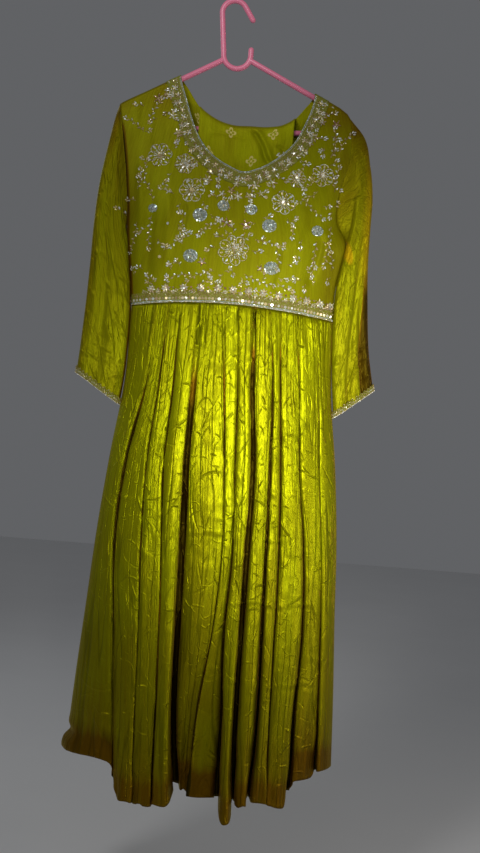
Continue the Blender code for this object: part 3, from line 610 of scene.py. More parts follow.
def build_bodice_front(settings):
    x, z = bodice_grid(FRONT_NECK, *FRONT_GRID)
    points = np.stack([x, bodice_front_y(x, z), z], axis=-1)
    share = share_at(x, z)
    rust = 0.2 + 0.12 * noise(x / 40.0, z / 90.0, 3) + 0.35 * ease(-235.0, -180.0, z)
    rust = rust + 0.2 * ease(0.06, 0.0, share) + 0.25 * ease(0.9, 1.0, share)
    # Painted shadow: a dark line down the left edge, where the sleeve meets the body
    rust = rust + 2.3 * ease(0.016, 0.002, share) * ease(-225.0, -260.0, z)
    piece = mesh_from_grids("bodice_front_silk", [(points, cloth_places(*centred(points)), rust)])
    # Painted shade: tone gives the bodice a darker copy of the silk's colours
    material = silk_material(
        "bodice_silk", settings, creases=0.08, crinkle=0.35, lustre=0.35, tone=0.86
    )
    finish_cloth(piece, material, "bodice_front")


def over_flap(x):
    return (x >= FLAP_SIDES[0] - 0.5) & (x <= FLAP_SIDES[1] + 0.5)


def flap_grid():
    """The slack of the back neck, hanging down inside the neck opening."""
    x, z = bodice_grid(BACK_NECK, *BACK_NECK_GRID)
    keep = over_flap(x[0])
    drop = FLAP_DROP * np.linspace(0.0, 1.0, FLAP_ROWS)[:, None] ** 1.4
    z = z[0][keep][None, :] - drop
    x = np.repeat(x[0][keep][None, :], FLAP_ROWS, axis=0)
    depth = DRAPE_DEPTH * rounding(drop) + 4.0 * drop / FLAP_DROP
    relief = crease_relief(x, z, FLAP_CREASES) + 0.5 * noise(x / 12.0, z / 50.0, 61)
    relief = relief + 0.6 * crush(x, z, 62, 40, 24.0, 0.9)
    y = -depth - ease(2.0, 16.0, drop) * (relief + 0.9)
    y = np.where(drop > 0.0, y, 0.0)
    return np.stack([x, y, z], axis=-1)


def build_bodice_back(settings):
    x, z = bodice_grid(BACK_NECK, *BACK_GRID)
    below = z[0][None, :] - z
    depth = bodice_depth(x, z, 2)
    fold = np.maximum(depth, DRAPE_DEPTH * 1.02) * rounding(below)
    depth = np.where(over_flap(x[0])[None, :], np.maximum(fold, 0.0), depth)
    hold = seam_hold(share_at(x, z), 14.0) * ease(2.0, 30.0, below)
    relief = 1.6 * noise(x / 34.0, z / 170.0, 51) + 0.6 * noise(x / 10.0, z / 110.0, 52)
    relief = relief + 0.8 * crush(x, z, 53, 160, 40.0, 0.7)
    points = np.stack([x, depth + hold * relief, z], axis=-1)[:, ::-1]
    rust = 0.16 + 0.12 * noise(points[..., 0] / 40.0, points[..., 2] / 90.0, 4)
    flap = flap_grid()
    across, down = arc_lengths(flap)
    flap_rust = 0.12 + 0.15 * noise(flap[..., 0] / 30.0, flap[..., 2] / 30.0, 5)
    flap_rust = flap_rust + 0.25 * ease(20.0, 0.0, down)
    grids = [
        (points, cloth_places(*centred(points)), rust),
        (flap, cloth_places(across + 14.0, down + 4.0), flap_rust),
    ]
    piece = mesh_from_grids("bodice_back_silk", grids)
    material = silk_material(
        "woven_back_silk", settings, motif=True, creases=0.15, crinkle=0.5, lustre=0.35
    )
    finish_cloth(piece, material, "bodice_back")


# --- Skirt ---------------------------------------------------------------------------


def skirt_grid(valleys, lobes, hem_valleys, hem_lobes, lobe_rust, side, per_lobe):
    """The folds between the waist seam and the hem: points, rust with painted shade, and share
    across.
    """
    stations = SKIRT_STATIONS[:, 0]
    drop = np.linspace(0.0, 1.0, SKIRT_ROWS)
    fall = drop[:, None]
    left_side = read(SKIRT_STATIONS, drop, 1)
    right_side = read(SKIRT_STATIONS, drop, 2)
    full = read(SKIRT_STATIONS, drop, 3 if side < 0 else 4)
    p = np.linspace(0.0, 1.0, per_lobe)
    p = (p - 0.35 * np.sin(2.0 * np.pi * p) / (2.0 * np.pi))[None, :]
    arch = np.sin(np.pi * p)
    crown = np.where((p <= 0.0) | (p >= 1.0), 0.0, arch**0.4)
    swell = np.clip(arch, 0.0, 1.0) ** 0.75
    band = 0.8 * ease(0.925, 0.965, fall) + 0.12 * fall
    xs, dips, outs, hems, lobe_rust_and_shade = [], [], [], [], []
    for lobe, out in enumerate(lobes):
        left = (left_side, np.zeros(SKIRT_ROWS))
        right = (right_side, np.zeros(SKIRT_ROWS))
        if lobe > 0:
            floor, places, depths = valleys[lobe - 1]
            left = (smooth(drop, stations, places) + floor, smooth(drop, stations, depths))
        if lobe < len(valleys):
            floor, places, depths = valleys[lobe]
            right = (smooth(drop, stations, places) - floor, smooth(drop, stations, depths))
        lean = 0.10 * math.sin(lobe * 2.3)
        p_lean = np.clip(p + lean * arch, 0.0, 1.0)
        shifted = p_lean - 0.86 * np.sin(2.0 * np.pi * p_lean) / (2.0 * np.pi)
        xs.append(left[0][:, None] + (right[0] - left[0])[:, None] * shifted)
        dip = left[1][:, None] + (right[1] - left[1])[:, None] * shifted
        dips.append(dip * (1.0 - crown))
        outs.append(out * (drop**2)[:, None] * crown)
        low = hem_valleys[lobe] + (hem_valleys[lobe + 1] - hem_valleys[lobe]) * p
        hems.append(np.repeat(low + (hem_lobes[lobe] - low) * swell, SKIRT_ROWS, axis=0))
        wall = np.clip(1.0 - 1.5 * crown, 0.0, 1.0) * ease(8.0, 34.0, dip)
        # Painted shade: a dark line along each valley floor; the rust on the valley walls is partly
        # the silk's rust and partly painted shade
        line = np.clip(1.0 - 2.0 * crown, 0.0, 1.0) * ease(1.5, 7.0, dip) * ease(0.04, 0.12, fall)
        # More rust towards the hem, and so darker there: partly the silk's rust, partly painted
        # shade
        rust = 0.05 + 0.38 * ease(0.30, 0.95, fall) + 0.22 * ease(0.82, 1.0, fall)
        rust = rust + 0.85 * wall + 2.6 * line + lobe_rust[lobe] * band
        lobe_rust_and_shade.append(rust + 0.12 * ease(0.945, 0.965, fall))
    x, dip, out, hem, rust = (np.concatenate(v, axis=1) for v in (xs, dips, outs, hems, lobe_rust_and_shade))
    share = (x - left_side[:, None]) / (right_side - left_side)[:, None]
    depth = np.maximum(full[:, None] * bulge(share) - dip + out, LEAST_DEPTH)
    depth[:, (0, -1)] = -0.7 * ease(0.02, 0.1, fall)
    top = waist_height(x) - 0.6
    z = top + (hem - top) * fall
    return np.stack([x, side * depth, z], axis=-1), rust, share


def pressed_creases(x, z, seed):
    """Sideways creases: a ridge with a shallow trough below it."""
    total = 0.0
    for x0, x1, height, depth in SKIRT_CREASES:
        past_end = np.clip(np.abs(x - (x0 + x1) / 2) - (x1 - x0) / 2, 0, None)
        off = z - height - 3.0 * np.sin(x / 14.0) - 2.0 * noise(x / 9.0, z / 50.0, seed)
        ridge = bell(off, 2.6) - 0.7 * bell(off + 5.0, 3.0)
        total = total + 0.55 * depth * bell(past_end, 5.0) * ridge
    return total


def crinkle_skirt(points, share, side, seed):
    """Gathers below the seam, upright crinkles, crushed facets and pressed creases."""
    if side > 0:
        points = points[:, ::-1]
        share = share[:, ::-1]
    u, v = arc_lengths(points)
    u = np.repeat(u[int(0.6 * len(u))][None, :], len(u), axis=0)
    gathers = 1.5 * noise(u / 3.6, v / 90.0, seed + 1) * np.exp(-v / 60.0)
    gathers = gathers + 1.0 * noise(u / 8.0, v / 180.0, seed + 2) * np.exp(-v / 220.0)
    crushed = (0.5 + 0.9 * bell(v - 260.0, 260.0)) * crush(u, v, seed + 3, 900, 46.0, 1.0)
    crushed = crushed + 0.9 * crush(u, v, seed + 5, 300, 110.0, 0.12)
    relief = gathers + 0.25 * pleats(u, v, seed + 9) + 1.3 * crushed
    relief = relief + 1.8 * noise(u / 26.0, v / 380.0, seed + 15)
    if side < 0:
        relief = relief + pressed_creases(points[..., 0], points[..., 2], seed + 20)
    hem = v[-1:, :] - v
    ruffle = 6.0 * noise(u / 21.0, v / 900.0, seed + 30)
    ruffle = ruffle + 3.0 * noise(u / 9.5, v / 900.0, seed + 31)
    edge = 1.8 * ease(12.0, 3.0, hem) * noise(u / 14.0, np.zeros_like(v), seed + 32)
    relief = relief + ruffle * ease(75.0, 2.0, hem) + edge
    relief = relief + 2.6 * crush(u, v, seed + 40, 260, 26.0, 1.4) * ease(70.0, 45.0, hem)
    relief = relief * (0.7 + 0.3 * ease(0.0, 40.0, hem)) + 0.9 * bell(hem - 1.5, 2.2)
    relief = relief * ease(0.0, 10.0, v) * seam_hold(share, 16.0)
    return points + grid_normals(points, False) * relief[..., None], u, v


def flare_hem(points, side):
    """The left hem corner kicks out, and the front curls there."""
    x, z = points[..., 0].copy(), points[..., 2]
    low = ease(-1290.0, -1350.0, z)
    edge = ease(-130.0, -200.0, x)
    notch = bell(z + 1322.0, 10.0) * ease(-165.0, -198.0, x)
    points[..., 0] += 9.0 * (notch - low * edge)
    if side < 0:
        curl = np.sin(np.clip((x + 196.0) / 70.0, 0.0, 1.0) * np.pi)
        points[..., 1] -= 16.0 * low * edge * curl


def build_skirt(name, settings, side):
    front = (FRONT_VALLEYS, FRONT_LOBES, FRONT_HEM_VALLEYS, FRONT_HEM_LOBES, FRONT_RUST)
    back = (BACK_VALLEYS, BACK_LOBES, BACK_HEM_VALLEYS, BACK_HEM_LOBES, BACK_RUST)
    if side < 0:
        points, rust, share = skirt_grid(*front, side, FRONT_LOBE_COLUMNS)
        seed = 100
    else:
        points, rust, share = skirt_grid(*back, side, BACK_LOBE_COLUMNS)
        rust = rust[:, ::-1]
        seed = 200
    points, across, down = crinkle_skirt(points, share, side, seed)
    flare_hem(points, side)
    level = np.zeros_like(down)
    rise = 6.0 * noise(across / 24.0, level, 77) + 2.6 * noise(across / 8.0, level, 76)
    points[..., 2] += rise * ease(0.88, 1.0, down / down.max())
    rust = rust + 0.10 * noise(across / 22.0, down / 160.0, 78)
    piece = mesh_from_grids(name + "_silk", [(points, cloth_places(across, down), rust)])
    material = silk_material(
        name + "_crinkled_silk", settings, creases=1.0, crinkle=0.9, gathers=0.8, folds=0.6
    )
    finish_cloth(piece, material, name)
    return piece


# --- Sleeves -------------------------------------------------------------------------


def sleeve_grid(table, side, columns, rows, start=0.0):
    """Sleeve rings from the armhole to the cuff; w is the share of the way down."""
    column, tip = (1, SLEEVE_TIPS[0]) if side < 0 else (2, SLEEVE_TIPS[1])
    armhole = np.array(
        [side_x(tip, column), 0.0, tip, side_x(ARMPIT, column), 0.0, ARMPIT, ARMHOLE_THICKNESS]
    )
    rings = np.vstack([armhole, np.asarray(table, float)])
    w = np.linspace(start, 1.0, rows)
    values = np.stack([smooth(w, SLEEVE_KNOTS, rings[:, i]) for i in range(7)], axis=1)
    turn = np.linspace(0.0, 2.0 * np.pi, columns, endpoint=False)
    share = 0.5 - 0.5 * np.cos(turn)
    facing = np.where(turn <= np.pi, -1.0, 1.0)
    reach = np.abs(2.0 * share - 1.0)
    lens = np.clip(1.0 - reach**2.4, 0.0, None) ** (1.0 / 2.4)
    outer, inner = values[:, :3], values[:, 3:6]
    inner[:, 0] -= side * 2.0 * ease(0.02, 0.12, w) * ease(1.0, 0.8, w)
    points = outer[:, None, :] + (inner - outer)[:, None, :] * share[None, :, None]
    points[..., 1] += facing[None, :] * lens[None, :] * values[:, 6:7]
    # The first ring is moved on to the armhole's edge, and the move fades out below it
    height = tip + (ARMPIT - tip) * share
    edge = read(ARMHOLE_DEPTHS, height) * rounding(tip - height)
    ring = np.stack([side_x(height, column) + side * 0.4, facing * edge, height], axis=-1)
    plain = armhole[None, :3] + (armhole[3:6] - armhole[:3])[None, :] * share[:, None]
    plain[:, 1] += facing * lens * ARMHOLE_THICKNESS
    fade = (1.0 - np.clip(w / SLEEVE_KNOTS[1], 0.0, 1.0)) ** 2
    points += (ring - plain)[None, :, :] * fade[:, None, None]
    return points, share, facing, w


def sleeve_relief(points, share, facing, w, side, seed):
    front = (facing < 0)[None, :]
    u = share[None, :] * 90.0 + np.where(front, 0.0, 130.0)
    share = share[None, :]
    w = w[:, None]
    v = w * 520.0
    relief = 1.5 * noise(u / 20.0, v / 200.0, seed) + 0.8 * noise(u / 7.5, v / 110.0, seed + 1)
    relief = relief + 2.4 * crush(u, v, seed + 2, 260, 40.0, 1.0) * ease(0.15, 0.6, w)
    relief = relief + 1.1 * crush(u, v, seed + 5, 70, 100.0, 0.2)
    if side > 0:
        trough = share - (0.30 + 0.30 * ease(0.45, 0.95, w))
        fold = -7.0 * bell(trough, 0.075) * ease(0.35, 0.6, w)
        puff = 5.0 * bell(share - 0.55, 0.22) * bell(w - 0.16, 0.10)
        lobe = -9.0 * bell(share - 0.22, 0.07) * ease(0.5, 0.9, w)
        relief = relief + np.where(front, fold * 0.7 + puff + lobe, 0.0)
    else:
        ridge = 2.4 * bell(share - 0.62, 0.10) - 2.2 * bell(share - 0.42, 0.08)
        relief = relief + np.where(front, ridge, 0.0) * ease(0.1, 0.5, w)
    relief = relief * seam_hold(share, 12.0) * ease(0.0, 0.08, w)
    return points + grid_normals(points, True) * relief[..., None]


def faces_in(points):
    """Whether the rings of a tube run so that its faces would look inwards."""
    middle = points.mean(axis=1, keepdims=True)
    return np.sum(grid_normals(points, True) * (points - middle)) < 0.0


def underarm_highlight(places):
    """Painted highlight: amber where the fold below the right armhole catches the light, and
    painted sheen along the upper outer edge of the right sleeve.
    """
    x, y, z = places.T
    dx, dz = x - HIGHLIGHT_FOLD[0], z - HIGHLIGHT_FOLD[1]
    off = dx * 0.93 + dz * 0.36
    along = dz * 0.93 - dx * 0.36
    lens = ease(1.15, 0.75, np.sqrt((off / 9.0) ** 2 + (along / 24.0) ** 2))
    outer = 0.62 * ease(250.0, 270.0, x) * ease(-520.0, -440.0, z) * ease(-215.0, -250.0, z)
    return np.where(y < 4.0, np.maximum(0.9 * lens, outer), outer)


def build_sleeve(name, settings, side, table, seed):
    points, share, facing, w = sleeve_grid(table, side, *SLEEVE_GRID)
    if faces_in(points):
        points, share, facing = points[:, ::-1], share[::-1], facing[::-1]
    points = sleeve_relief(points, share, facing, w, side, seed)
    across, down = arc_lengths(points)
    front = (facing < 0)[None, :]
    share = share[None, :]
    w = w[:, None]
    rust = 0.22 + 0.12 * noise(across / 24.0, down / 120.0, seed + 9)
    rust = rust + 0.35 * ease(0.25, 0.0, share) + 0.3 * ease(0.22, 0.0, w)
    # Painted shade: the back lobe of the right sleeve, beyond its front fold, is darkened
    if side > 0:
        edge = 0.10 + 0.20 * ease(0.45, 1.0, w)
        shaded_lobe = ease(0.02, -0.02, share - edge) * ease(0.5, 0.62, w)
        rust = rust + np.where(front, 2.05 * shaded_lobe, 0.0)
    else:
        # Painted shadow: a dark line along the inner seam, between the arm and the body
        rust = rust + np.where(front, 2.3, 0.6) * ease(0.955, 1.0, share) * ease(0.06, 0.2, w)
    grids = [(points, cloth_places(across, down), rust)]
    piece = mesh_from_grids(name + "_silk", grids, True, underarm_highlight if side > 0 else None)
    material = silk_material(
        name + "_silk", settings, creases=1.0, crinkle=0.9, lustre=0.7, folds=0.12
    )
    finish_cloth(piece, material, name)


# --- Bead work -----------------------------------------------------------------------


class BeadPlan:
    """Places, sizes, kinds, headings and colours of the beads of one piece."""

    def __init__(self, seed):
        self.random = np.random.default_rng(seed)
        self.places = []
        self.sizes = []
        self.kinds = []
        self.headings = []
        self.colours = []

    def add(self, x, z, size, kind, family, heading=0.0):
        shades = BEAD_COLOURS[family]
        shade = shades[int(self.random.integers(len(shades)))]
        self.places.append((x, z))
        self.sizes.append(size * self.random.uniform(0.85, 1.15))
        self.kinds.append(kind)
        self.headings.append((math.cos(heading), 0.0, math.sin(heading)))
        self.colours.append((*shade, 1.0))


def away(x, z, reach, angle):
    return x + reach * math.cos(angle), z + reach * math.sin(angle)


def sew_petalled(plan, x, z, reach, petals, family):
    """Outlined petals, each with two long stones, about a boss of sequins."""
    phase = plan.random.uniform(0.0, math.tau)
    for petal in range(petals):
        angle = phase + math.tau * petal / petals
        wide = 0.8 * reach * math.sin(math.pi / petals)
        for turn in np.arange(0.0, math.tau, 1.9 / (0.36 * reach)):
            along = reach * (0.64 + 0.36 * math.cos(turn))
            across = wide * math.sin(turn)
            px = x + along * math.cos(angle) - across * math.sin(angle)
            pz = z + along * math.sin(angle) + across * math.cos(angle)
            tone = family if plan.random.uniform() < 0.75 else "gold"
            plan.add(px, pz, 0.95, ROUND, tone)
        for along, size in ((0.46, 1.5), (0.80, 1.8)):
            plan.add(*away(x, z, along * reach, angle), size, LEAF, "silver", angle)
    for k in range(6):
        plan.add(*away(x, z, 0.17 * reach, math.tau * k / 6), 1.3, SEQUIN, "champagne")
    plan.add(x, z, 2.2, SEQUIN, "silver")


def sew_rosette(plan, x, z, reach, family):
    """Close rings of flat sequins and long beads, a little flattened."""
    plan.add(x, z, 1.3, SEQUIN, "silver")
    for ring in np.arange(2.3, reach, 2.3):
        number = int(math.tau * ring / 2.5)
        for k in range(number):
            angle = math.tau * k / number + ring
            tone = family if plan.random.uniform() < 0.75 else "ice"
            px = x + ring * math.cos(angle)
            pz = z + 0.92 * ring * math.sin(angle)
            plan.add(px, pz, 0.85, LEAF if k % 2 else SEQUIN, tone, angle)


def sew_small_flower(plan, x, z, reach, petals, family):
    phase = plan.random.uniform(0.0, math.tau)
    for petal in range(petals):
        angle = phase + math.tau * petal / petals
        plan.add(*away(x, z, 0.55 * reach, angle), 0.19 * reach, LEAF, family, angle)
        plan.add(*away(x, z, reach, angle), 0.9, ROUND, "gold")
    plan.add(x, z, 1.3, SEQUIN, "silver")


def sew_flower(plan, x, z, reach, petals, family):
    if family == "steel":
        sew_rosette(plan, x, z, reach * 0.85, family)
    elif reach > 13:
        sew_petalled(plan, x, z, reach, petals, family)
    else:
        sew_small_flower(plan, x, z, reach * 0.8, petals, family)


def sew_leaf(plan, x, z, angle, size, family):
    """A bud of three long beads."""
    for turn, reach in ((-0.55, 0.6), (0.0, 0.85), (0.55, 0.6)):
        turn += angle
        plan.add(*away(x, z, reach * size, turn), 0.17 * size, LEAF, family, turn)


def sew_sprig(plan, x, z, size, heading, bend, leaves):
    """A curved stem of small gold beads with long beads to both sides and a bud."""
    heading = math.radians(heading)
    bend = math.radians(bend)
    steps = int(size / STEM_STEP)
    for step in range(steps):
        angle = heading + bend * step / steps
        x, z = away(x, z, STEM_STEP, angle)
        plan.add(x, z, 0.8, ROUND, "gold" if step % 3 else "rose")
        if leaves and step % 3 == 1:
            turn = angle + (0.75 if (step // 3) % 2 else -0.75)
            tone = "champagne" if plan.random.uniform() < 0.5 else "silver"
            plan.add(*away(x, z, 3.8, turn), 1.25, LEAF, tone, turn)
    sew_leaf(plan, x, z, heading + bend, 8.0, "silver")


def neck_line(count):
    """Points along the front neck edge and the direction into the cloth at each."""
    xs, zs = np.transpose(FRONT_NECK)
    length = np.concatenate([[0.0], np.cumsum(np.hypot(np.diff(xs), np.diff(zs)))])
    at = np.linspace(0.0, length[-1], count)
    x = smooth(at, length, xs)
    z = smooth(at, length, zs)
    dx = np.gradient(x)
    dz = np.gradient(z)
    size = np.hypot(dx, dz)
    return x, z, dz / size, -dx / size


def plan_neck_beads():
    """A piped edge, a band of little flowers in scrollwork, and sprays that leave it."""
    plan = BeadPlan(11)
    x, z, nx, nz = neck_line(int(470 / 1.9))

    def inside(i, offset):
        return x[i] + nx[i] * offset, z[i] + nz[i] * offset

    for i in range(len(x)):
        for offset, size, family in ((1.4, 0.85, "ice"), (3.4, 0.7, "silver"), (7.2, 0.55, "gold")):
            plan.add(*inside(i, offset), size, ROUND, family)
        scroll = 14.5 + 5.5 * math.sin(i * 0.42)
        plan.add(*inside(i, scroll), 0.6, ROUND, "gold" if i % 4 else "rose")
        if plan.random.uniform() < 0.75:
            offset = plan.random.uniform(8.5, NECK_BAND_WIDTH)
            turn = plan.random.uniform(0.0, math.tau)
            family = plan.random.choice(["gold", "champagne", "silver", "rose"])
            plan.add(*inside(i, offset), 0.7, LEAF, family, turn)
    for number, i in enumerate(range(4, len(x) - 3, 8)):
        family = "silver" if number % 2 else "champagne"
        sew_small_flower(plan, *inside(i, 13.0 + 2.0 * (number % 2)), 6.2, 5, family)
        offset = 24.0 + 3.0 * math.sin(number * 1.7)
        angle = math.atan2(nz[i], nx[i])
        if number % 3 == 0:
            sew_small_flower(plan, *inside(i, offset), 6.5, 6, "champagne")
        else:
            turn = angle + 0.5 * math.sin(number * 2.6)
            sew_leaf(plan, *inside(i, offset - 4.0), turn, 7.5, "silver")
        if number % 3 == 1:
            heading = math.degrees(angle) + 25.0 * math.sin(number)
            sew_sprig(plan, *inside(i, 25.0), 17.0, heading, 30.0, 2)
    return plan


def plan_waist_beads():
    """Silver piping, a row of mirrors, scrollwork, and flowers standing on it."""
    plan = BeadPlan(12)
    for number, x in enumerate(np.arange(-146.0, 216.0, 1.95)):
        z = float(waist_height(x))
        for offset, size, family in ((1.6, 1.0, "silver"), (3.7, 0.9, "ice"), (12.6, 0.6, "gold")):
            plan.add(x, z + offset, size, ROUND, family)
        if number % 3 == 0:
            plan.add(x, z + 8.2, 1.7, SEQUIN, "silver" if number % 2 else "champagne")
            plan.add(x, z + 5.6, 0.6, ROUND, "rose")
            plan.add(x, z + 10.8, 0.6, ROUND, "rose")
        plan.add(x, z + 16.5 + 2.4 * math.sin(number * 0.5), 0.6, ROUND, "gold")
        if plan.random.uniform() < 0.6:
            offset = plan.random.uniform(13.5, 21.0)
            family = plan.random.choice(["gold", "champagne", "rose"])
            plan.add(x, z + offset, 0.75, LEAF, family, plan.random.uniform(0.0, math.tau))
    for x in WAIST_FLOWER_XS:
        z = float(waist_height(x)) + 26.0
        sew_rosette(plan, x, z, 5.5, "champagne")
        sew_small_flower(plan, x, z, 8.6, 8, "champagne")
        for side in (-1.0, 1.0):
            heading = math.pi / 2 - side * 0.5
            sew_leaf(plan, x + side * 11.0, z - 9.0, heading, 7.0, "champagne")
        plan.add(x + 13.0, z + 2.0, 1.2, SEQUIN, "rose")
    return plan


def plan_motif_beads():
    plan = BeadPlan(13)
    for flower in FLOWERS:
        sew_flower(plan, *flower)
    for sprig in SPRIGS:
        sew_sprig(plan, *sprig)
    for x, z, turn in TWIGS:
        sew_sprig(plan, x, z, 13.0, turn, 20.0, 1)
    for _ in range(70):
        x, z = plan.random.uniform(-150.0, 208.0), plan.random.uniform(-520.0, -200.0)
        near = min(math.hypot(x - flower[0], z - flower[1]) - flower[2] for flower in FLOWERS)
        if near > 5.0 and z < -215.0 - 0.75 * (120.0 - abs(x - 32.0)):
            size, heading = plan.random.uniform(7.0, 14.0), plan.random.uniform(0.0, 360.0)
            sew_sprig(plan, x, z, size, heading, 25.0, 1)
    for x, z in LONE_MIRRORS:
        plan.add(x, z, 2.0, SEQUIN, "silver")
    return plan


def new_group(name, kind, inputs, outputs):
    """A node group with its sockets: the tree, its input node and its output node."""
    tree = bpy.data.node_groups.new(name, kind)
    for way, sockets in (("INPUT", inputs), ("OUTPUT", outputs)):
        for label, socket_kind, *default in sockets:
            item = tree.interface.new_socket(
                name=label, in_out=way, socket_type="NodeSocket" + socket_kind
            )
            if default:
                item.default_value = default[0]
    return tree, tree.nodes.new("NodeGroupInput"), tree.nodes.new("NodeGroupOutput")


def named_attribute(tree, name, kind):
    node = tree.nodes.new("GeometryNodeInputNamedAttribute")
    node.data_type = kind
    node.inputs["Name"].default_value = name
    return node.outputs["Attribute"]


def turned(tree, rotation, axis, vector):
    node = tree.nodes.new("FunctionNodeAlignRotationToVector")
    node.axis = axis
    if axis == "Z":
        node.pivot_axis = "AUTO"
    if rotation is not None:
        tree.links.new(rotation, node.inputs["Rotation"])
    tree.links.new(vector, node.inputs["Vector"])
    return node.outputs["Rotation"]


def bead_tree():
    """Sews a round bead, a flat sequin or a long bead on every point of a plan."""
    inputs = (
        ("Plan", "Geometry"), ("Bead Radius", "Float", 0.0011), ("Sequin Radius", "Float", 0.0013),
        ("Flatness", "Float", 0.6), ("Length", "Float", 2.1), ("Tilt", "Float", 0.35),
        ("Seed", "Int", 4), ("Finish", "Material"),
    )
    outputs = (("Beads", "Geometry"),)
    tree, given, result = new_group("Sew Beads", "GeometryNodeTree", inputs, outputs)
    nodes, links = tree.nodes, tree.links
    to_points = nodes.new("GeometryNodeMeshToPoints")
    links.new(given.outputs["Plan"], to_points.inputs["Mesh"])
    ball = nodes.new("GeometryNodeMeshIcoSphere")
    ball.inputs["Subdivisions"].default_value = 1
    links.new(given.outputs["Bead Radius"], ball.inputs["Radius"])
    shapes = []
    for long in (False, True):
        shaped = nodes.new("GeometryNodeTransform")
        size = nodes.new("ShaderNodeCombineXYZ")
        size.inputs["X"].default_value = 1.0
        size.inputs["Y"].default_value = 1.0
        if long:
            links.new(given.outputs["Length"], size.inputs["X"])
        links.new(given.outputs["Flatness"], size.inputs["Z"])
        links.new(ball.outputs["Mesh"], shaped.inputs["Geometry"])
        links.new(size.outputs["Vector"], shaped.inputs["Scale"])
        shapes.append(shaped.outputs["Geometry"])
    disc = nodes.new("GeometryNodeMeshCircle")
    disc.fill_type = "TRIANGLE_FAN"
    disc.inputs["Vertices"].default_value = 7
    links.new(given.outputs["Sequin Radius"], disc.inputs["Radius"])
    shapes.insert(1, disc.outputs["Mesh"])
    wobble = nodes.new("FunctionNodeRandomValue")
    wobble.data_type = "FLOAT_VECTOR"
    wobble.inputs["Min"].default_value = (-1.0, -1.0, -1.0)
    wobble.inputs["Max"].default_value = (1.0, 1.0, 1.0)
    links.new(given.outputs["Seed"], wobble.inputs["Seed"])
    scaled = nodes.new("ShaderNodeVectorMath")
    scaled.operation = "SCALE"
    links.new(wobble.outputs["Value"], scaled.inputs[0])
    links.new(given.outputs["Tilt"], scaled.inputs["Scale"])
    added = nodes.new("ShaderNodeVectorMath")
    added.operation = "ADD"
    links.new(named_attribute(tree, "facing", "FLOAT_VECTOR"), added.inputs[0])
    links.new(scaled.outputs["Vector"], added.inputs[1])
    rotation = turned(tree, None, "X", named_attribute(tree, "heading", "FLOAT_VECTOR"))
    rotation = turned(tree, rotation, "Z", added.outputs["Vector"])
    kind = named_attribute(tree, "bead_kind", "INT")
    join = nodes.new("GeometryNodeJoinGeometry")
    for number, shape in enumerate(shapes):
        same = nodes.new("FunctionNodeCompare")
        same.data_type = "INT"
        same.operation = "EQUAL"
        sides = {item.identifier: item for item in same.inputs}
        links.new(kind, sides["A_INT"])
        sides["B_INT"].default_value = number
        sew = nodes.new("GeometryNodeInstanceOnPoints")
        links.new(to_points.outputs["Points"], sew.inputs["Points"])
        links.new(same.outputs["Result"], sew.inputs["Selection"])
        links.new(shape, sew.inputs["Instance"])
        links.new(rotation, sew.inputs["Rotation"])
        links.new(named_attribute(tree, "bead_size", "FLOAT"), sew.inputs["Scale"])
        links.new(sew.outputs["Instances"], join.inputs["Geometry"])
    real = nodes.new("GeometryNodeRealizeInstances")
    finish = nodes.new("GeometryNodeSetMaterial")
    links.new(join.outputs["Geometry"], real.inputs["Geometry"])
    links.new(real.outputs["Geometry"], finish.inputs["Geometry"])
    links.new(given.outputs["Finish"], finish.inputs["Material"])
    links.new(finish.outputs["Geometry"], result.inputs["Beads"])
    return tree


def set_input(modifier, tree, name, value):
    for item in tree.interface.items_tree:
        if item.item_type == "SOCKET" and item.in_out == "INPUT" and item.name == name:
            modifier[item.identifier] = value
            return
    raise RuntimeError(f"the tree has no input named {name}")


def sewn(name, points, facings, sizes, kinds, headings, colours, settings, material):
    """Beads on points in millimetres, as one plain mesh."""
    mesh = bpy.data.meshes.new(name + "_plan")
    mesh.from_pydata([tuple(p) for p in np.asarray(points) * MM], [], [])
    store(mesh, "facing", "FLOAT_VECTOR", "vector", facings)
    store(mesh, "heading", "FLOAT_VECTOR", "vector", headings)
    store(mesh, "bead_size", "FLOAT", "value", sizes)
    store(mesh, "bead_kind", "INT", "value", kinds)
    store(mesh, "bead_colour", "FLOAT_COLOR", "color", colours)
    plan = add_object(name + "_plan", mesh)
    tree = bpy.data.node_groups.get("Sew Beads") or bead_tree()
    modifier = plan.modifiers.new("beads", "NODES")
    modifier.node_group = tree
    set_input(modifier, tree, "Bead Radius", settings.bead_radius)
    set_input(modifier, tree, "Sequin Radius", settings.sequin_radius)
    set_input(modifier, tree, "Tilt", settings.bead_tilt)
    set_input(modifier, tree, "Finish", material)
    bpy.context.view_layer.update()
    graph = bpy.context.evaluated_depsgraph_get()
    made = bpy.data.meshes.new_from_object(plan.evaluated_get(graph))
    bpy.data.objects.remove(plan)
    piece = add_object(name, made)
    if not made.materials:
        made.materials.append(material)
    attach(piece, "root")


def sew_on_bodice(name, plan, settings, material, lift):
    """Sews a plan on the front bodice, but for beads past the line of the hanger's arms."""
    x, z = np.transpose(plan.places)
    keep = shoulder_height(x) - z > 5.0
    step = 1.5
    y = bodice_front_y(x, z)
    slope_x = (bodice_front_y(x + step, z) - y) / step
    slope_z = (bodice_front_y(x, z - step) - y) / -step
    facing = np.stack([slope_x, -np.ones_like(x), slope_z], axis=-1)
    facing /= np.linalg.norm(facing, axis=1, keepdims=True)
    points = np.stack([x, y, z], axis=-1) + facing * lift
    pick = [np.asarray(v)[keep] for v in (plan.sizes, plan.kinds, plan.headings, plan.colours)]
    sewn(name, points[keep], facing[keep], *pick, settings, material)


def build_worked_cloth(name, points, rust, settings, replaced, wall, closed=False):
    uv = cloth_places(*arc_lengths(points))
    grids = [(points, uv, np.full(points.shape[:2], rust))]
    piece = mesh_from_grids(name, grids, closed)
    finish_cloth(piece, worked_material(settings), replaced, wall)
    return piece


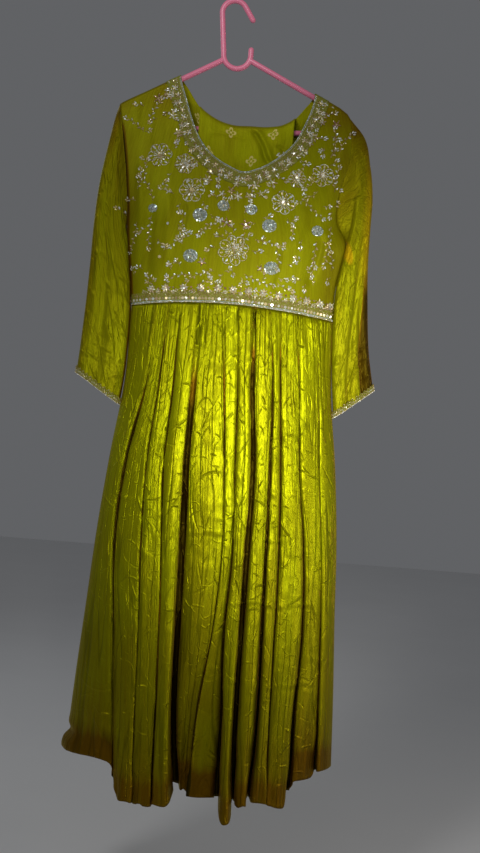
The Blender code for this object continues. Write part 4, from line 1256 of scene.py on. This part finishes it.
def build_neck_border(settings):
    columns, rows = NECK_BAND_GRID
    x, z, nx, nz = neck_line(columns)
    offsets = np.linspace(0.4, NECK_BAND_WIDTH + 3.0, rows)[:, None]
    px = x[None, :] + nx[None, :] * offsets
    pz = z[None, :] + nz[None, :] * offsets
    wave = 1.6 * np.abs(np.sin(np.arange(columns) * 0.29))
    px[-1] += nx * wave
    pz[-1] += nz * wave
    pz = np.minimum(pz, shoulder_height(px) - 0.6)
    points = np.stack([px, bodice_front_y(px, pz) - 0.75, pz], axis=-1)
    if grid_normals(points, False)[..., 1].mean() > 0:
        points = points[:, ::-1]
    piece = build_worked_cloth("neck_border_cloth", points, 0.3, settings, "neck_border", 0.4)


def build_waist_border(settings):
    columns, rows = WAIST_BAND_GRID
    start, end = WAIST_BAND_ENDS
    px = np.repeat(np.linspace(start, end, columns)[None, :], rows, axis=0)
    pz = waist_height(px) + np.linspace(0.5, WAIST_BAND_HEIGHT, rows)[::-1][:, None]
    left = side_x(pz, 1) + 0.8
    right = side_x(pz, 2) - 0.8
    px = left + (right - left) * ((px - start) / (end - start))
    points = np.stack([px, bodice_front_y(px, pz) - 0.7, pz], axis=-1)
    piece = build_worked_cloth("waist_border_cloth", points, 0.3, settings, "waist_border", 0.4)


def build_cuff(name, settings, side, table, seed):
    """Zigzag lace at the cuff: a narrow band with a pointed upper edge and bead rows."""
    columns, rows = CUFF_GRID
    points, _, _, _ = sleeve_grid(table, side, columns, rows, CUFF_TOP_SHARE)
    normal = grid_normals(points, True)
    if faces_in(points):
        points, normal = points[:, ::-1], -normal[:, ::-1]
    points = points + normal * 1.9
    tooth = np.abs((np.arange(columns) * CUFF_TEETH / columns) % 1.0 - 0.5) * 2.0
    up = points[0] - points[-1]
    up /= np.linalg.norm(up, axis=1, keepdims=True)
    low = points[-1] - up * 2.0
    height = 9.0 + 4.5 * tooth
    levels = np.linspace(1.0, 0.0, rows)[:, None, None]
    lace = low[None] + up[None] * height[None, :, None] * levels
    piece = build_worked_cloth(name + "_lace", lace, 0.4, settings, name, 0.5, closed=True)
    random = np.random.default_rng(seed)
    beads = []

    def add(i, rise, size, kind, family):
        shade = BEAD_COLOURS[family][int(random.integers(3))]
        place = low[i] + up[i] * rise + normal[-1, i] * 0.5
        beads.append((place, normal[-1, i], size, kind, up[i], (*shade, 1.0)))

    for i in range(0, columns, 2):
        for level, size, family in CUFF_ROWS:
            add(i, height[i] * level, size, ROUND, family)
        if i % 4 == 0:
            add(i, 4.0 + 3.0 * tooth[i], 0.9, LEAF, "champagne")
    sewn(name + "_beads", *zip(*beads), settings, bead_material(settings))


# --- Hanger --------------------------------------------------------------------------


def arc(centre, radius, start, end, steps):
    angles = np.radians(np.linspace(start, end, steps + 1))
    return [(centre[0] + radius * math.cos(a), centre[1] + radius * math.sin(a)) for a in angles]


def tilted(x, z):
    turn = math.radians(HANGER_TILT_DEG)
    return (
        LOOP_CENTRE[0] + x * math.cos(turn) - z * math.sin(turn),
        LOOP_CENTRE[1] + x * math.sin(turn) + z * math.cos(turn),
    )


def hook_path():
    end = math.radians(CROOK_END_DEG)
    path = arc(CROOK_CENTRE, CROOK_RADIUS, CROOK_END_DEG, 180.0, 40)
    x, z = path[0]
    path.insert(0, (x + CROOK_TIP_LENGTH * math.sin(end), z - CROOK_TIP_LENGTH * math.cos(end)))
    path += arc(LOOP_CENTRE, LOOP_RADIUS, 180.0, 360.0, 48)
    path.append((path[-1][0], path[-1][1] + STUB_HEIGHT))
    return path


def hanger_frame_path():
    slope = math.radians(ARM_SLOPE_DEG)
    start_x = LOOP_RADIUS * 0.96
    start_z = -LOOP_RADIUS * 0.36
    corner_x = start_x + (BAR_DROP + start_z) / math.tan(slope)
    radius = (corner_x - HANGER_HALF_WIDTH) / (1.0 / math.tan(slope / 2.0) - 1.0)
    bend = (HANGER_HALF_WIDTH - radius, -BAR_DROP + radius)
    right = [(start_x, start_z)] + arc(bend, radius, 90.0 - ARM_SLOPE_DEG, -90.0, 30)
    left = [(-x, z) for x, z in reversed(right)]
    return [tilted(x, z) for x, z in right + left]


def tube_points(path, sides):
    """Rings round a path in the hanger's plane, closed by rounded ends."""
    path = np.array([(x, 0.0, z) for x, z in path])
    along = np.gradient(path, axis=0)
    along /= np.linalg.norm(along, axis=1, keepdims=True)

    def cap(end, way):
        for share in CAP_SHARES:
            centre = path[end] + way * along[end] * TUBE_RADIUS * share
            yield centre, along[end], max(TUBE_RADIUS * math.sqrt(1.0 - share**2), 0.02)

    rings = list(cap(0, -1.0))
    rings += [(p, a, TUBE_RADIUS) for p, a in zip(path, along)]
    rings += reversed(list(cap(-1, 1.0)))
    turn = np.linspace(0.0, 2.0 * np.pi, sides, endpoint=False)[:, None]
    grid = []
    for centre, a, radius in rings:
        across = np.array((a[2], 0.0, -a[0]))
        spoke = np.cos(turn) * across + np.sin(turn) * np.array((0.0, 1.0, 0.0))
        grid.append(centre + radius * spoke)
    grid = np.array(grid)
    return grid[:, ::-1] if faces_in(grid) else grid


def build_hanger(settings):
    grids = []
    for path in (hook_path(), hanger_frame_path()):
        points = tube_points(path, TUBE_SIDES)
        grids.append((points, cloth_places(*arc_lengths(points)), np.zeros(points.shape[:2])))
    piece = mesh_from_grids("hanger_moulding", grids, closed=True)
    piece.data.materials.append(plastic_material(settings))
    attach(piece, "root")
    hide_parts("hanger")


# --- Finishes ------------------------------------------------------------------------


def math_node(tree, operation, *values):
    node = tree.nodes.new("ShaderNodeMath")
    node.operation = operation
    for item, value in zip(node.inputs, values):
        if isinstance(value, (int, float)):
            item.default_value = value
        else:
            tree.links.new(value, item)
    return node.outputs[0]


def sums(tree):
    """Adding, taking away and multiplying in a tree, under short names."""
    return [partial(math_node, tree, name) for name in ("ADD", "SUBTRACT", "MULTIPLY")]


def noise_node(tree, vector, scale, detail, roughness=0.5):
    node = tree.nodes.new("ShaderNodeTexNoise")
    node.inputs["Scale"].default_value = scale
    node.inputs["Detail"].default_value = detail
    node.inputs["Roughness"].default_value = roughness
    tree.links.new(vector, node.inputs["Vector"])
    return node.outputs["Fac"]


def stretched(tree, vector, scale, turn=0.0):
    node = tree.nodes.new("ShaderNodeMapping")
    node.inputs["Scale"].default_value = scale
    node.inputs["Rotation"].default_value = (0.0, 0.0, turn)
    tree.links.new(vector, node.inputs["Vector"])
    return node.outputs["Vector"]


def mix_colour(tree, factor, first, second):
    node = tree.nodes.new("ShaderNodeMix")
    node.data_type = "RGBA"
    for number, value in ((0, factor), (6, first), (7, second)):
        item = node.inputs[number]
        if isinstance(value, (int, float, tuple)):
            item.default_value = value
        else:
            tree.links.new(value, item)
    return node.outputs[2]


def crush_marks(tree, vector, scale, turn, sharpness):
    """Short bent lines at random angles, raised or sunk, one to a cell."""
    add, less, times = sums(tree)
    placed = stretched(tree, vector, scale, turn)
    cells = tree.nodes.new("ShaderNodeTexVoronoi")
    cells.inputs["Scale"].default_value = 1.0
    cells.inputs["Randomness"].default_value = 0.75
    tree.links.new(placed, cells.inputs["Vector"])
    local = tree.nodes.new("ShaderNodeVectorMath")
    local.operation = "SUBTRACT"
    tree.links.new(placed, local.inputs[0])
    tree.links.new(cells.outputs["Position"], local.inputs[1])
    split = tree.nodes.new("ShaderNodeSeparateXYZ")
    tree.links.new(local.outputs[0], split.inputs[0])
    x, y = split.outputs["X"], split.outputs["Y"]
    chance = tree.nodes.new("ShaderNodeSeparateColor")
    tree.links.new(cells.outputs["Color"], chance.inputs[0])
    for_angle, for_bend, for_height = list(chance.outputs)[:3]
    angle = math_node(tree, "MULTIPLY_ADD", for_angle, 2.6, -1.3)
    cosine = math_node(tree, "COSINE", angle)
    sine = math_node(tree, "SINE", angle)
    along = add(times(x, sine), times(y, cosine))
    off = less(times(x, cosine), times(y, sine))
    bend = times(times(along, along), math_node(tree, "MULTIPLY_ADD", for_bend, 1.6, -0.8))
    off = math_node(tree, "ABSOLUTE", add(off, bend))
    line = math_node(tree, "MAXIMUM", less(1.0, times(off, sharpness)), 0.0)
    reach = math_node(tree, "MAXIMUM", less(1.0, times(times(along, along), 3.6)), 0.0)
    height = math_node(tree, "MULTIPLY_ADD", for_height, 2.4, -1.0)
    return times(times(line, reach), height)


def shot_silk_group():
    """Shot colour with painted shade, worn gloss and fine crinkle height of the crushed silk."""
    inputs = (
        ("Vector", "Vector"), ("Rust Mask", "Float", 0.0), ("Lime", "Color"), ("Rust", "Color"),
        ("Roughness", "Float", 0.4), ("Creases", "Float", 0.4), ("Crinkle", "Float", 1.0),
        ("Gathers", "Float", 0.0), ("Amber Mask", "Float", 0.0), ("Fold Lines", "Float", 0.0),
    )
    outputs = (("Colour", "Color"), ("Gloss", "Float"), ("Height", "Float"))
    tree, given, result = new_group("Shot Silk", "ShaderNodeTree", inputs, outputs)
    given = given.outputs
    add, less, times = sums(tree)

    def grain(across, down, detail, roughness=0.5):
        placed = stretched(tree, given["Vector"], (across, down, 1.0))
        return noise_node(tree, placed, 1.0, detail, roughness)

    upright = grain(260.0, 14.0, 3.0, 0.6)
    finer = grain(900.0, 40.0, 2.0, 0.6)
    slub = grain(40.0, 900.0, 2.0)
    creases = crush_marks(tree, given["Vector"], (19.0, 13.0, 1.0), 0.0, 24.0)
    for scale, turn, sharpness, share in CRUSH_LAYERS:
        layer = crush_marks(tree, given["Vector"], scale, turn, sharpness)
        creases = add(creases, times(layer, share))

    folds = math_node(tree, "ABSOLUTE", less(grain(52.0, 2.6, 1.0), 0.5))
    folds = less(1.0, math_node(tree, "MINIMUM", times(folds, 26.0), 1.0))
    folds = times(folds, given["Fold Lines"])
    split = tree.nodes.new("ShaderNodeSeparateXYZ")
    tree.links.new(given["Vector"], split.inputs[0])
    fade = math_node(tree, "EXPONENT", times(split.outputs["Y"], 17.0))
    tucks = times(times(grain(340.0, 5.0, 1.0), fade), given["Gathers"])
    height = times(add(times(upright, 0.9), times(finer, 0.3)), given["Crinkle"])
    height = add(less(height, times(folds, 1.1)), times(tucks, 2.2))
    height = add(height, times(creases, given["Creases"]))
    tree.links.new(add(height, times(slub, 0.06)), result.inputs["Height"])

    blotch = grain(16.0, 6.0, 3.0)
    amount = add(given["Rust Mask"], times(less(blotch, 0.5), 0.5))
    amount = add(amount, times(less(upright, 0.5), 0.55))
    clamp = tree.nodes.new("ShaderNodeClamp")
    tree.links.new(amount, clamp.inputs["Value"])
    colour = mix_colour(tree, clamp.outputs[0], given["Lime"], given["Rust"])
    # Painted highlight and sheen: amber mixed in where the fold and the sleeve edge catch the light
    colour = mix_colour(tree, given["Amber Mask"], colour, HIGHLIGHT_AMBER)
    # Painted shade: darker in the troughs of the fine crinkle, along the fold lines, and where the
    # rust mask passes its threshold
    shade = add(times(finer, 0.35), 0.82)
    shade = times(shade, less(1.0, times(folds, 0.55)))
    deep = math_node(tree, "MAXIMUM", less(given["Rust Mask"], PAINTED_SHADE_FROM), 0.0)
    deep = math_node(tree, "MINIMUM", deep, 1.0)
    shade = times(shade, less(1.0, times(deep, 0.8)))
    tinted = tree.nodes.new("ShaderNodeVectorMath")
    tinted.operation = "SCALE"
    tree.links.new(colour, tinted.inputs[0])
    tree.links.new(shade, tinted.inputs["Scale"])
    tree.links.new(tinted.outputs[0], result.inputs["Colour"])
    gloss = add(given["Roughness"], times(less(slub, 0.5), 0.16))
    tree.links.new(gloss, result.inputs["Gloss"])
    return tree


def woven_motif_group():
    """A small four-petalled flower woven at wide, staggered intervals."""
    inputs = (
        ("Vector", "Vector"), ("Across", "Float", 0.08), ("Down", "Float", 0.05),
        ("Reach", "Float", 0.0095),
    )
    tree, given, result = new_group("Woven Motif", "ShaderNodeTree", inputs, (("Mask", "Float"),))
    given = given.outputs
    add, less, times = sums(tree)
    node = partial(math_node, tree)
    split = tree.nodes.new("ShaderNodeSeparateXYZ")
    tree.links.new(given["Vector"], split.inputs[0])
    row = node("DIVIDE", split.outputs["Y"], given["Down"])
    odd = node("MODULO", node("ABSOLUTE", node("FLOOR", row)), 2.0)
    column = add(node("DIVIDE", split.outputs["X"], given["Across"]), times(odd, 0.5))
    x = times(less(node("FRACT", column), 0.5), given["Across"])
    y = times(less(node("FRACT", row), 0.5), given["Down"])
    radius = node("SQRT", add(times(x, x), times(y, y)))
    petal = node("ABSOLUTE", node("COSINE", times(node("ARCTAN2", y, x), 2.0)))
    edge = times(add(times(petal, 0.6), 0.42), given["Reach"])
    rim = times(node("LESS_THAN", radius, edge), node("GREATER_THAN", radius, times(edge, 0.62)))
    heart = node("LESS_THAN", radius, times(given["Reach"], 0.22))
    tree.links.new(node("MAXIMUM", rim, heart), result.inputs["Mask"])
    return tree


def new_material(name):
    material = bpy.data.materials.new(name)
    material.use_nodes = True
    return material, material.node_tree, material.node_tree.nodes["Principled BSDF"]


def place_group(tree, name, build):
    node = tree.nodes.new("ShaderNodeGroup")
    node.node_tree = bpy.data.node_groups.get(name) or build()
    return node


def add_bump(tree, shader, height, distance):
    bump = tree.nodes.new("ShaderNodeBump")
    bump.inputs["Distance"].default_value = distance
    bump.inputs["Strength"].default_value = 1.0
    tree.links.new(height, bump.inputs["Height"])
    tree.links.new(bump.outputs["Normal"], shader.inputs["Normal"])


def silk_material(
    name, settings, creases, crinkle, gathers=0.0, folds=0.0, lustre=1.0, tone=1.0, motif=False
):
    material, tree, shader = new_material(name)
    uv = tree.nodes.new("ShaderNodeUVMap")
    uv.uv_map = "cloth"
    silk = place_group(tree, "Shot Silk", shot_silk_group)
    for label, colour in (("Lime", settings.silk_lime), ("Rust", settings.silk_rust)):
        # tone scales the colours down, a painted shade where it is below one
        silk.inputs[label].default_value = (*[c * tone for c in colour], 1.0)
    silk.inputs["Roughness"].default_value = settings.silk_roughness + 0.16 * (1.0 - lustre)
    silk.inputs["Creases"].default_value = creases
    silk.inputs["Crinkle"].default_value = crinkle
    silk.inputs["Gathers"].default_value = gathers
    silk.inputs["Fold Lines"].default_value = folds
    for attribute in ("rust", "amber"):
        node = tree.nodes.new("ShaderNodeAttribute")
        node.attribute_name = attribute
        tree.links.new(node.outputs["Fac"], silk.inputs[attribute.capitalize() + " Mask"])
    tree.links.new(uv.outputs["UV"], silk.inputs["Vector"])
    colour = silk.outputs["Colour"]
    if motif:
        woven = place_group(tree, "Woven Motif", woven_motif_group)
        tree.links.new(uv.outputs["UV"], woven.inputs["Vector"])
        colour = mix_colour(tree, woven.outputs["Mask"], colour, MOTIF_GOLD)
    tree.links.new(colour, shader.inputs["Base Color"])
    tree.links.new(silk.outputs["Gloss"], shader.inputs["Roughness"])
    shader.inputs["Specular IOR Level"].default_value = 0.4
    shader.inputs["Specular Tint"].default_value = (0.9, 1.0, 0.1, 1.0)
    shader.inputs["Metallic"].default_value = settings.silk_lustre * lustre
    shader.inputs["Sheen Weight"].default_value = 0.18
    shader.inputs["Sheen Roughness"].default_value = 0.3
    shader.inputs["Sheen Tint"].default_value = (1.0, 0.42, 0.06, 1.0)
    add_bump(tree, shader, silk.outputs["Height"], SILK_RELIEF)
    return material


def worked_material(settings):
    """Silk ground covered with couched metal thread."""
    existing = bpy.data.materials.get("worked_border")
    if existing:
        return existing
    material, tree, shader = new_material("worked_border")
    uv = tree.nodes.new("ShaderNodeUVMap")
    uv.uv_map = "cloth"
    cells = tree.nodes.new("ShaderNodeTexVoronoi")
    cells.inputs["Scale"].default_value = 560.0
    tree.links.new(uv.outputs["UV"], cells.inputs["Vector"])
    threads = noise_node(tree, stretched(tree, uv.outputs["UV"], (700.0, 700.0, 1.0)), 1.0, 2.0)
    ramp = tree.nodes.new("ShaderNodeValToRGB")
    tree.links.new(cells.outputs["Color"], ramp.inputs["Fac"])
    ground = [c * 0.72 for c in settings.silk_lime]
    ramp.color_ramp.elements[0].color = (*ground, 1.0)
    ramp.color_ramp.elements[1].color = (0.36, 0.37, 0.10, 1.0)
    for place, colour in ((0.42, ground), (0.62, (0.25, 0.25, 0.01)), (0.8, (0.21, 0.17, 0.012))):
        ramp.color_ramp.elements.new(place).color = (*colour, 1.0)
    tree.links.new(ramp.outputs["Color"], shader.inputs["Base Color"])
    shader.inputs["Metallic"].default_value = 0.15
    shader.inputs["Roughness"].default_value = 0.5
    height = math_node(tree, "ADD", cells.outputs["Distance"], threads)
    add_bump(tree, shader, height, 0.0006)
    return material


def bead_material(settings):
    existing = bpy.data.materials.get("glass_and_metal_beads")
    if existing:
        return existing
    material, tree, shader = new_material("glass_and_metal_beads")
    colour = tree.nodes.new("ShaderNodeAttribute")
    colour.attribute_name = "bead_colour"
    where = tree.nodes.new("ShaderNodeTexCoord")
    dull = noise_node(tree, where.outputs["Object"], 700.0, 1.0)
    tree.links.new(colour.outputs["Color"], shader.inputs["Base Color"])
    gloss = math_node(tree, "MULTIPLY_ADD", dull, 0.3, settings.bead_roughness - 0.1)
    tree.links.new(gloss, shader.inputs["Roughness"])
    shader.inputs["Metallic"].default_value = 0.35
    shader.inputs["Specular IOR Level"].default_value = 0.8
    shader.inputs["Coat Weight"].default_value = 0.6
    shader.inputs["Coat Roughness"].default_value = 0.08
    return material


def plastic_material(settings):
    material, tree, shader = new_material("moulded_pink_plastic")
    where = tree.nodes.new("ShaderNodeTexCoord")
    cloud = noise_node(tree, where.outputs["Object"], 30.0, 3.0)
    scuff = noise_node(tree, stretched(tree, where.outputs["Object"], (1.0, 1.0, 9.0)), 160.0, 2.0)
    pink = (*settings.plastic_pink, 1.0)
    deep = tuple(c * 0.86 for c in settings.plastic_pink) + (1.0,)
    tree.links.new(mix_colour(tree, cloud, pink, deep), shader.inputs["Base Color"])
    gloss = math_node(tree, "MULTIPLY_ADD", scuff, 0.22, 0.24)
    tree.links.new(gloss, shader.inputs["Roughness"])
    shader.inputs["Specular IOR Level"].default_value = 0.5
    shader.inputs["Subsurface Weight"].default_value = 0.12
    shader.inputs["Subsurface Radius"].default_value = (0.004, 0.002, 0.002)
    add_bump(tree, shader, scuff, 0.00003)
    return material


# --- Stage ---------------------------------------------------------------------------


def add_light(name, kind, place, target, size, cone, power, colour):
    data = bpy.data.lights.new(name, kind)
    if kind == "SPOT":
        data.shadow_soft_size = size
        data.spot_size = math.radians(cone)
        data.spot_blend = 1.0
    else:
        data.shape = "DISK"
        data.size = size
    data.energy = power
    data.color = colour
    light = add_object(name, data)
    light.location = place
    light.rotation_euler = (Vector(target) - Vector(place)).to_track_quat("-Z", "Y").to_euler()


def add_floor():
    corners = [(-1, -1), (1, -1), (1, 1), (-1, 1)]
    corners = [(x * FLOOR_REACH, y * FLOOR_REACH, FLOOR_HEIGHT) for x, y in corners]
    mesh = bpy.data.meshes.new("floor")
    mesh.from_pydata(corners, [], [(0, 1, 2, 3)])
    floor = add_object("floor", mesh)
    material, tree, shader = new_material("pale_floor")
    where = tree.nodes.new("ShaderNodeTexCoord")
    speck = noise_node(tree, where.outputs["Object"], 3.0, 2.0)
    colour = mix_colour(tree, speck, (0.78, 0.78, 0.78, 1.0), (0.82, 0.82, 0.82, 1.0))
    tree.links.new(colour, shader.inputs["Base Color"])
    shader.inputs["Roughness"].default_value = 0.8
    mesh.materials.append(material)


def build_stage(settings):
    scene = bpy.context.scene
    add_floor()
    scene.world = bpy.data.worlds.new("studio")
    scene.world.use_nodes = True
    background = scene.world.node_tree.nodes["Background"]
    background.inputs["Color"].default_value = (0.72, 0.74, 0.78, 1.0)
    background.inputs["Strength"].default_value = settings.fill_strength
    for *light, share, colour in LIGHTS:
        add_light(*light, settings.key_power * share, colour)
    scene.view_settings.view_transform = "Standard"
    data = bpy.data.cameras.new("camera")
    data.sensor_fit = "VERTICAL"
    data.angle = math.radians(CAMERA_ANGLE_DEG)
    roll = math.radians(settings.camera_roll)
    right = (math.cos(roll), 0.0, math.sin(roll))
    up = (-math.sin(roll), 0.0, math.cos(roll))
    back = (0.0, -1.0, 0.0)
    scene.camera = add_object("camera", data)
    axes = Matrix((right, up, back)).transposed()
    scene.camera.matrix_world = Matrix.Translation(CAMERA_PLACE) @ axes.to_4x4()


# --- Settings, operators and panel -----------------------------------------------------


def colour_property(name, description, default):
    return FloatVectorProperty(
        name=name, description=description, default=default, subtype="COLOR", size=3, min=0, max=1
    )


def share_property(name, description, default, least=0.0):
    return FloatProperty(
        name=name, description=description, default=default, subtype="FACTOR", min=least, max=1.0
    )


def bead_size_property(name, description, default):
    return FloatProperty(
        name=name, description=description, default=default, unit="LENGTH", min=0.0002, max=0.01
    )


class GownSettings(PropertyGroup):
    silk_lime: colour_property(
        "Silk green", "Colour of the silk seen square on", (0.32, 0.335, 0.001)
    )
    silk_rust: colour_property(
        "Silk rust",
        "Colour of the cross threads, seen in folds and at the hem",
        (0.165, 0.078, 0.0012),
    )
    silk_roughness: share_property("Silk roughness", "How soft the silk's shine is", 0.40, 0.05)
    silk_lustre: share_property(
        "Silk lustre", "How much of the shine takes the silk's own colour", 0.62
    )
    bead_radius: bead_size_property("Bead radius", "Radius of a round bead", 0.00105)
    sequin_radius: bead_size_property("Sequin radius", "Radius of a flat sequin", 0.0015)
    bead_tilt: share_property("Bead tilt", "How unevenly the beads lie on the cloth", 0.4)
    bead_roughness: share_property("Bead roughness", "How dull the beads are", 0.22)
    plastic_pink: colour_property("Hanger pink", "Colour of the moulded hanger", (0.93, 0.25, 0.39))
    key_power: FloatProperty(
        name="Key light",
        description="Power of the main light",
        default=208.0,
        unit="POWER",
        min=0.0,
        max=5000.0,
    )
    fill_strength: FloatProperty(
        name="Fill",
        description="Strength of the even light from all round",
        default=0.165,
        min=0.0,
        max=4.0,
    )
    camera_roll: FloatProperty(
        name="Camera roll",
        description="How far the camera leans, in degrees",
        default=4.5,
        min=-45.0,
        max=45.0,
    )
    sleeve_seed: IntProperty(
        name="Sleeve crinkles",
        description="Which run of crinkles the sleeves take",
        default=300,
        min=0,
        max=100000,
    )


class GOWN_OT_hanger(Operator):
    """Makes the moulded hanger"""

    bl_idname = "gown.hanger"
    bl_label = "Hanger"

    def execute(self, context):
        build_hanger(context.scene.gown)
        return {"FINISHED"}


class GOWN_OT_bodice(Operator):
    """Makes the front and back of the bodice, with the turned-down neck"""

    bl_idname = "gown.bodice"
    bl_label = "Bodice"

    def execute(self, context):
        build_bodice_front(context.scene.gown)
        build_bodice_back(context.scene.gown)
        return {"FINISHED"}


class GOWN_OT_skirt(Operator):
    """Makes the gathered front and back of the skirt"""

    bl_idname = "gown.skirt"
    bl_label = "Skirt"

    def execute(self, context):
        front = build_skirt("skirt_front", context.scene.gown, -1.0)
        back = build_skirt("skirt_back", context.scene.gown, 1.0)
        return {"FINISHED"}


class GOWN_OT_sleeves(Operator):
    """Makes both sleeves and their cuff lace"""

    bl_idname = "gown.sleeves"
    bl_label = "Sleeves"

    def execute(self, context):
        settings = context.scene.gown
        build_sleeve("sleeve_left", settings, -1.0, LEFT_SLEEVE, settings.sleeve_seed)
        build_sleeve("sleeve_right", settings, 1.0, RIGHT_SLEEVE, settings.sleeve_seed + 40)
        build_cuff("cuff_left", settings, -1.0, LEFT_SLEEVE, 21)
        build_cuff("cuff_right", settings, 1.0, RIGHT_SLEEVE, 22)
        return {"FINISHED"}


class GOWN_OT_borders(Operator):
    """Makes the worked cloth of the neck and waist borders"""

    bl_idname = "gown.borders"
    bl_label = "Worked borders"

    def execute(self, context):
        build_neck_border(context.scene.gown)
        build_waist_border(context.scene.gown)
        return {"FINISHED"}


class GOWN_OT_beads(Operator):
    """Sews the beads and sequins of the bodice"""

    bl_idname = "gown.beads"
    bl_label = "Bead work"

    def execute(self, context):
        settings = context.scene.gown
        finish = bead_material(settings)
        sew_on_bodice("neck_beads", plan_neck_beads(), settings, finish, 1.5)
        sew_on_bodice("waist_beads", plan_waist_beads(), settings, finish, 1.4)
        sew_on_bodice("flower_beads", plan_motif_beads(), settings, finish, 0.5)
        return {"FINISHED"}


class GOWN_OT_stage(Operator):
    """Sets the floor, the light and the camera"""

    bl_idname = "gown.stage"
    bl_label = "Stage"

    def execute(self, context):
        build_stage(context.scene.gown)
        return {"FINISHED"}


class GOWN_PT_panel(Panel):
    """Lists the gown's pieces and sizes"""

    bl_idname = "GOWN_PT_panel"
    bl_label = "Hanging gown"
    bl_space_type = "VIEW_3D"
    bl_region_type = "UI"
    bl_category = "Gown"

    def draw(self, context):
        settings = context.scene.gown
        for name in settings.bl_rna.properties.keys():
            if name not in ("rna_type", "name"):
                self.layout.prop(settings, name)
        for operator in OPERATORS:
            self.layout.operator(operator.bl_idname)


OPERATORS = (
    GOWN_OT_hanger,
    GOWN_OT_bodice,
    GOWN_OT_skirt,
    GOWN_OT_sleeves,
    GOWN_OT_borders,
    GOWN_OT_beads,
    GOWN_OT_stage,
)


def register():
    bpy.utils.register_class(GownSettings)
    for operator in OPERATORS:
        bpy.utils.register_class(operator)
    bpy.utils.register_class(GOWN_PT_panel)
    bpy.types.Scene.gown = PointerProperty(type=GownSettings)


def unregister():
    del bpy.types.Scene.gown
    bpy.utils.unregister_class(GOWN_PT_panel)
    for operator in reversed(OPERATORS):
        bpy.utils.unregister_class(operator)
    bpy.utils.unregister_class(GownSettings)


def main():
    register()
    for operator in OPERATORS:
        group, name = operator.bl_idname.split(".")
        getattr(getattr(bpy.ops, group), name)()


if __name__ == "__main__":
    main()
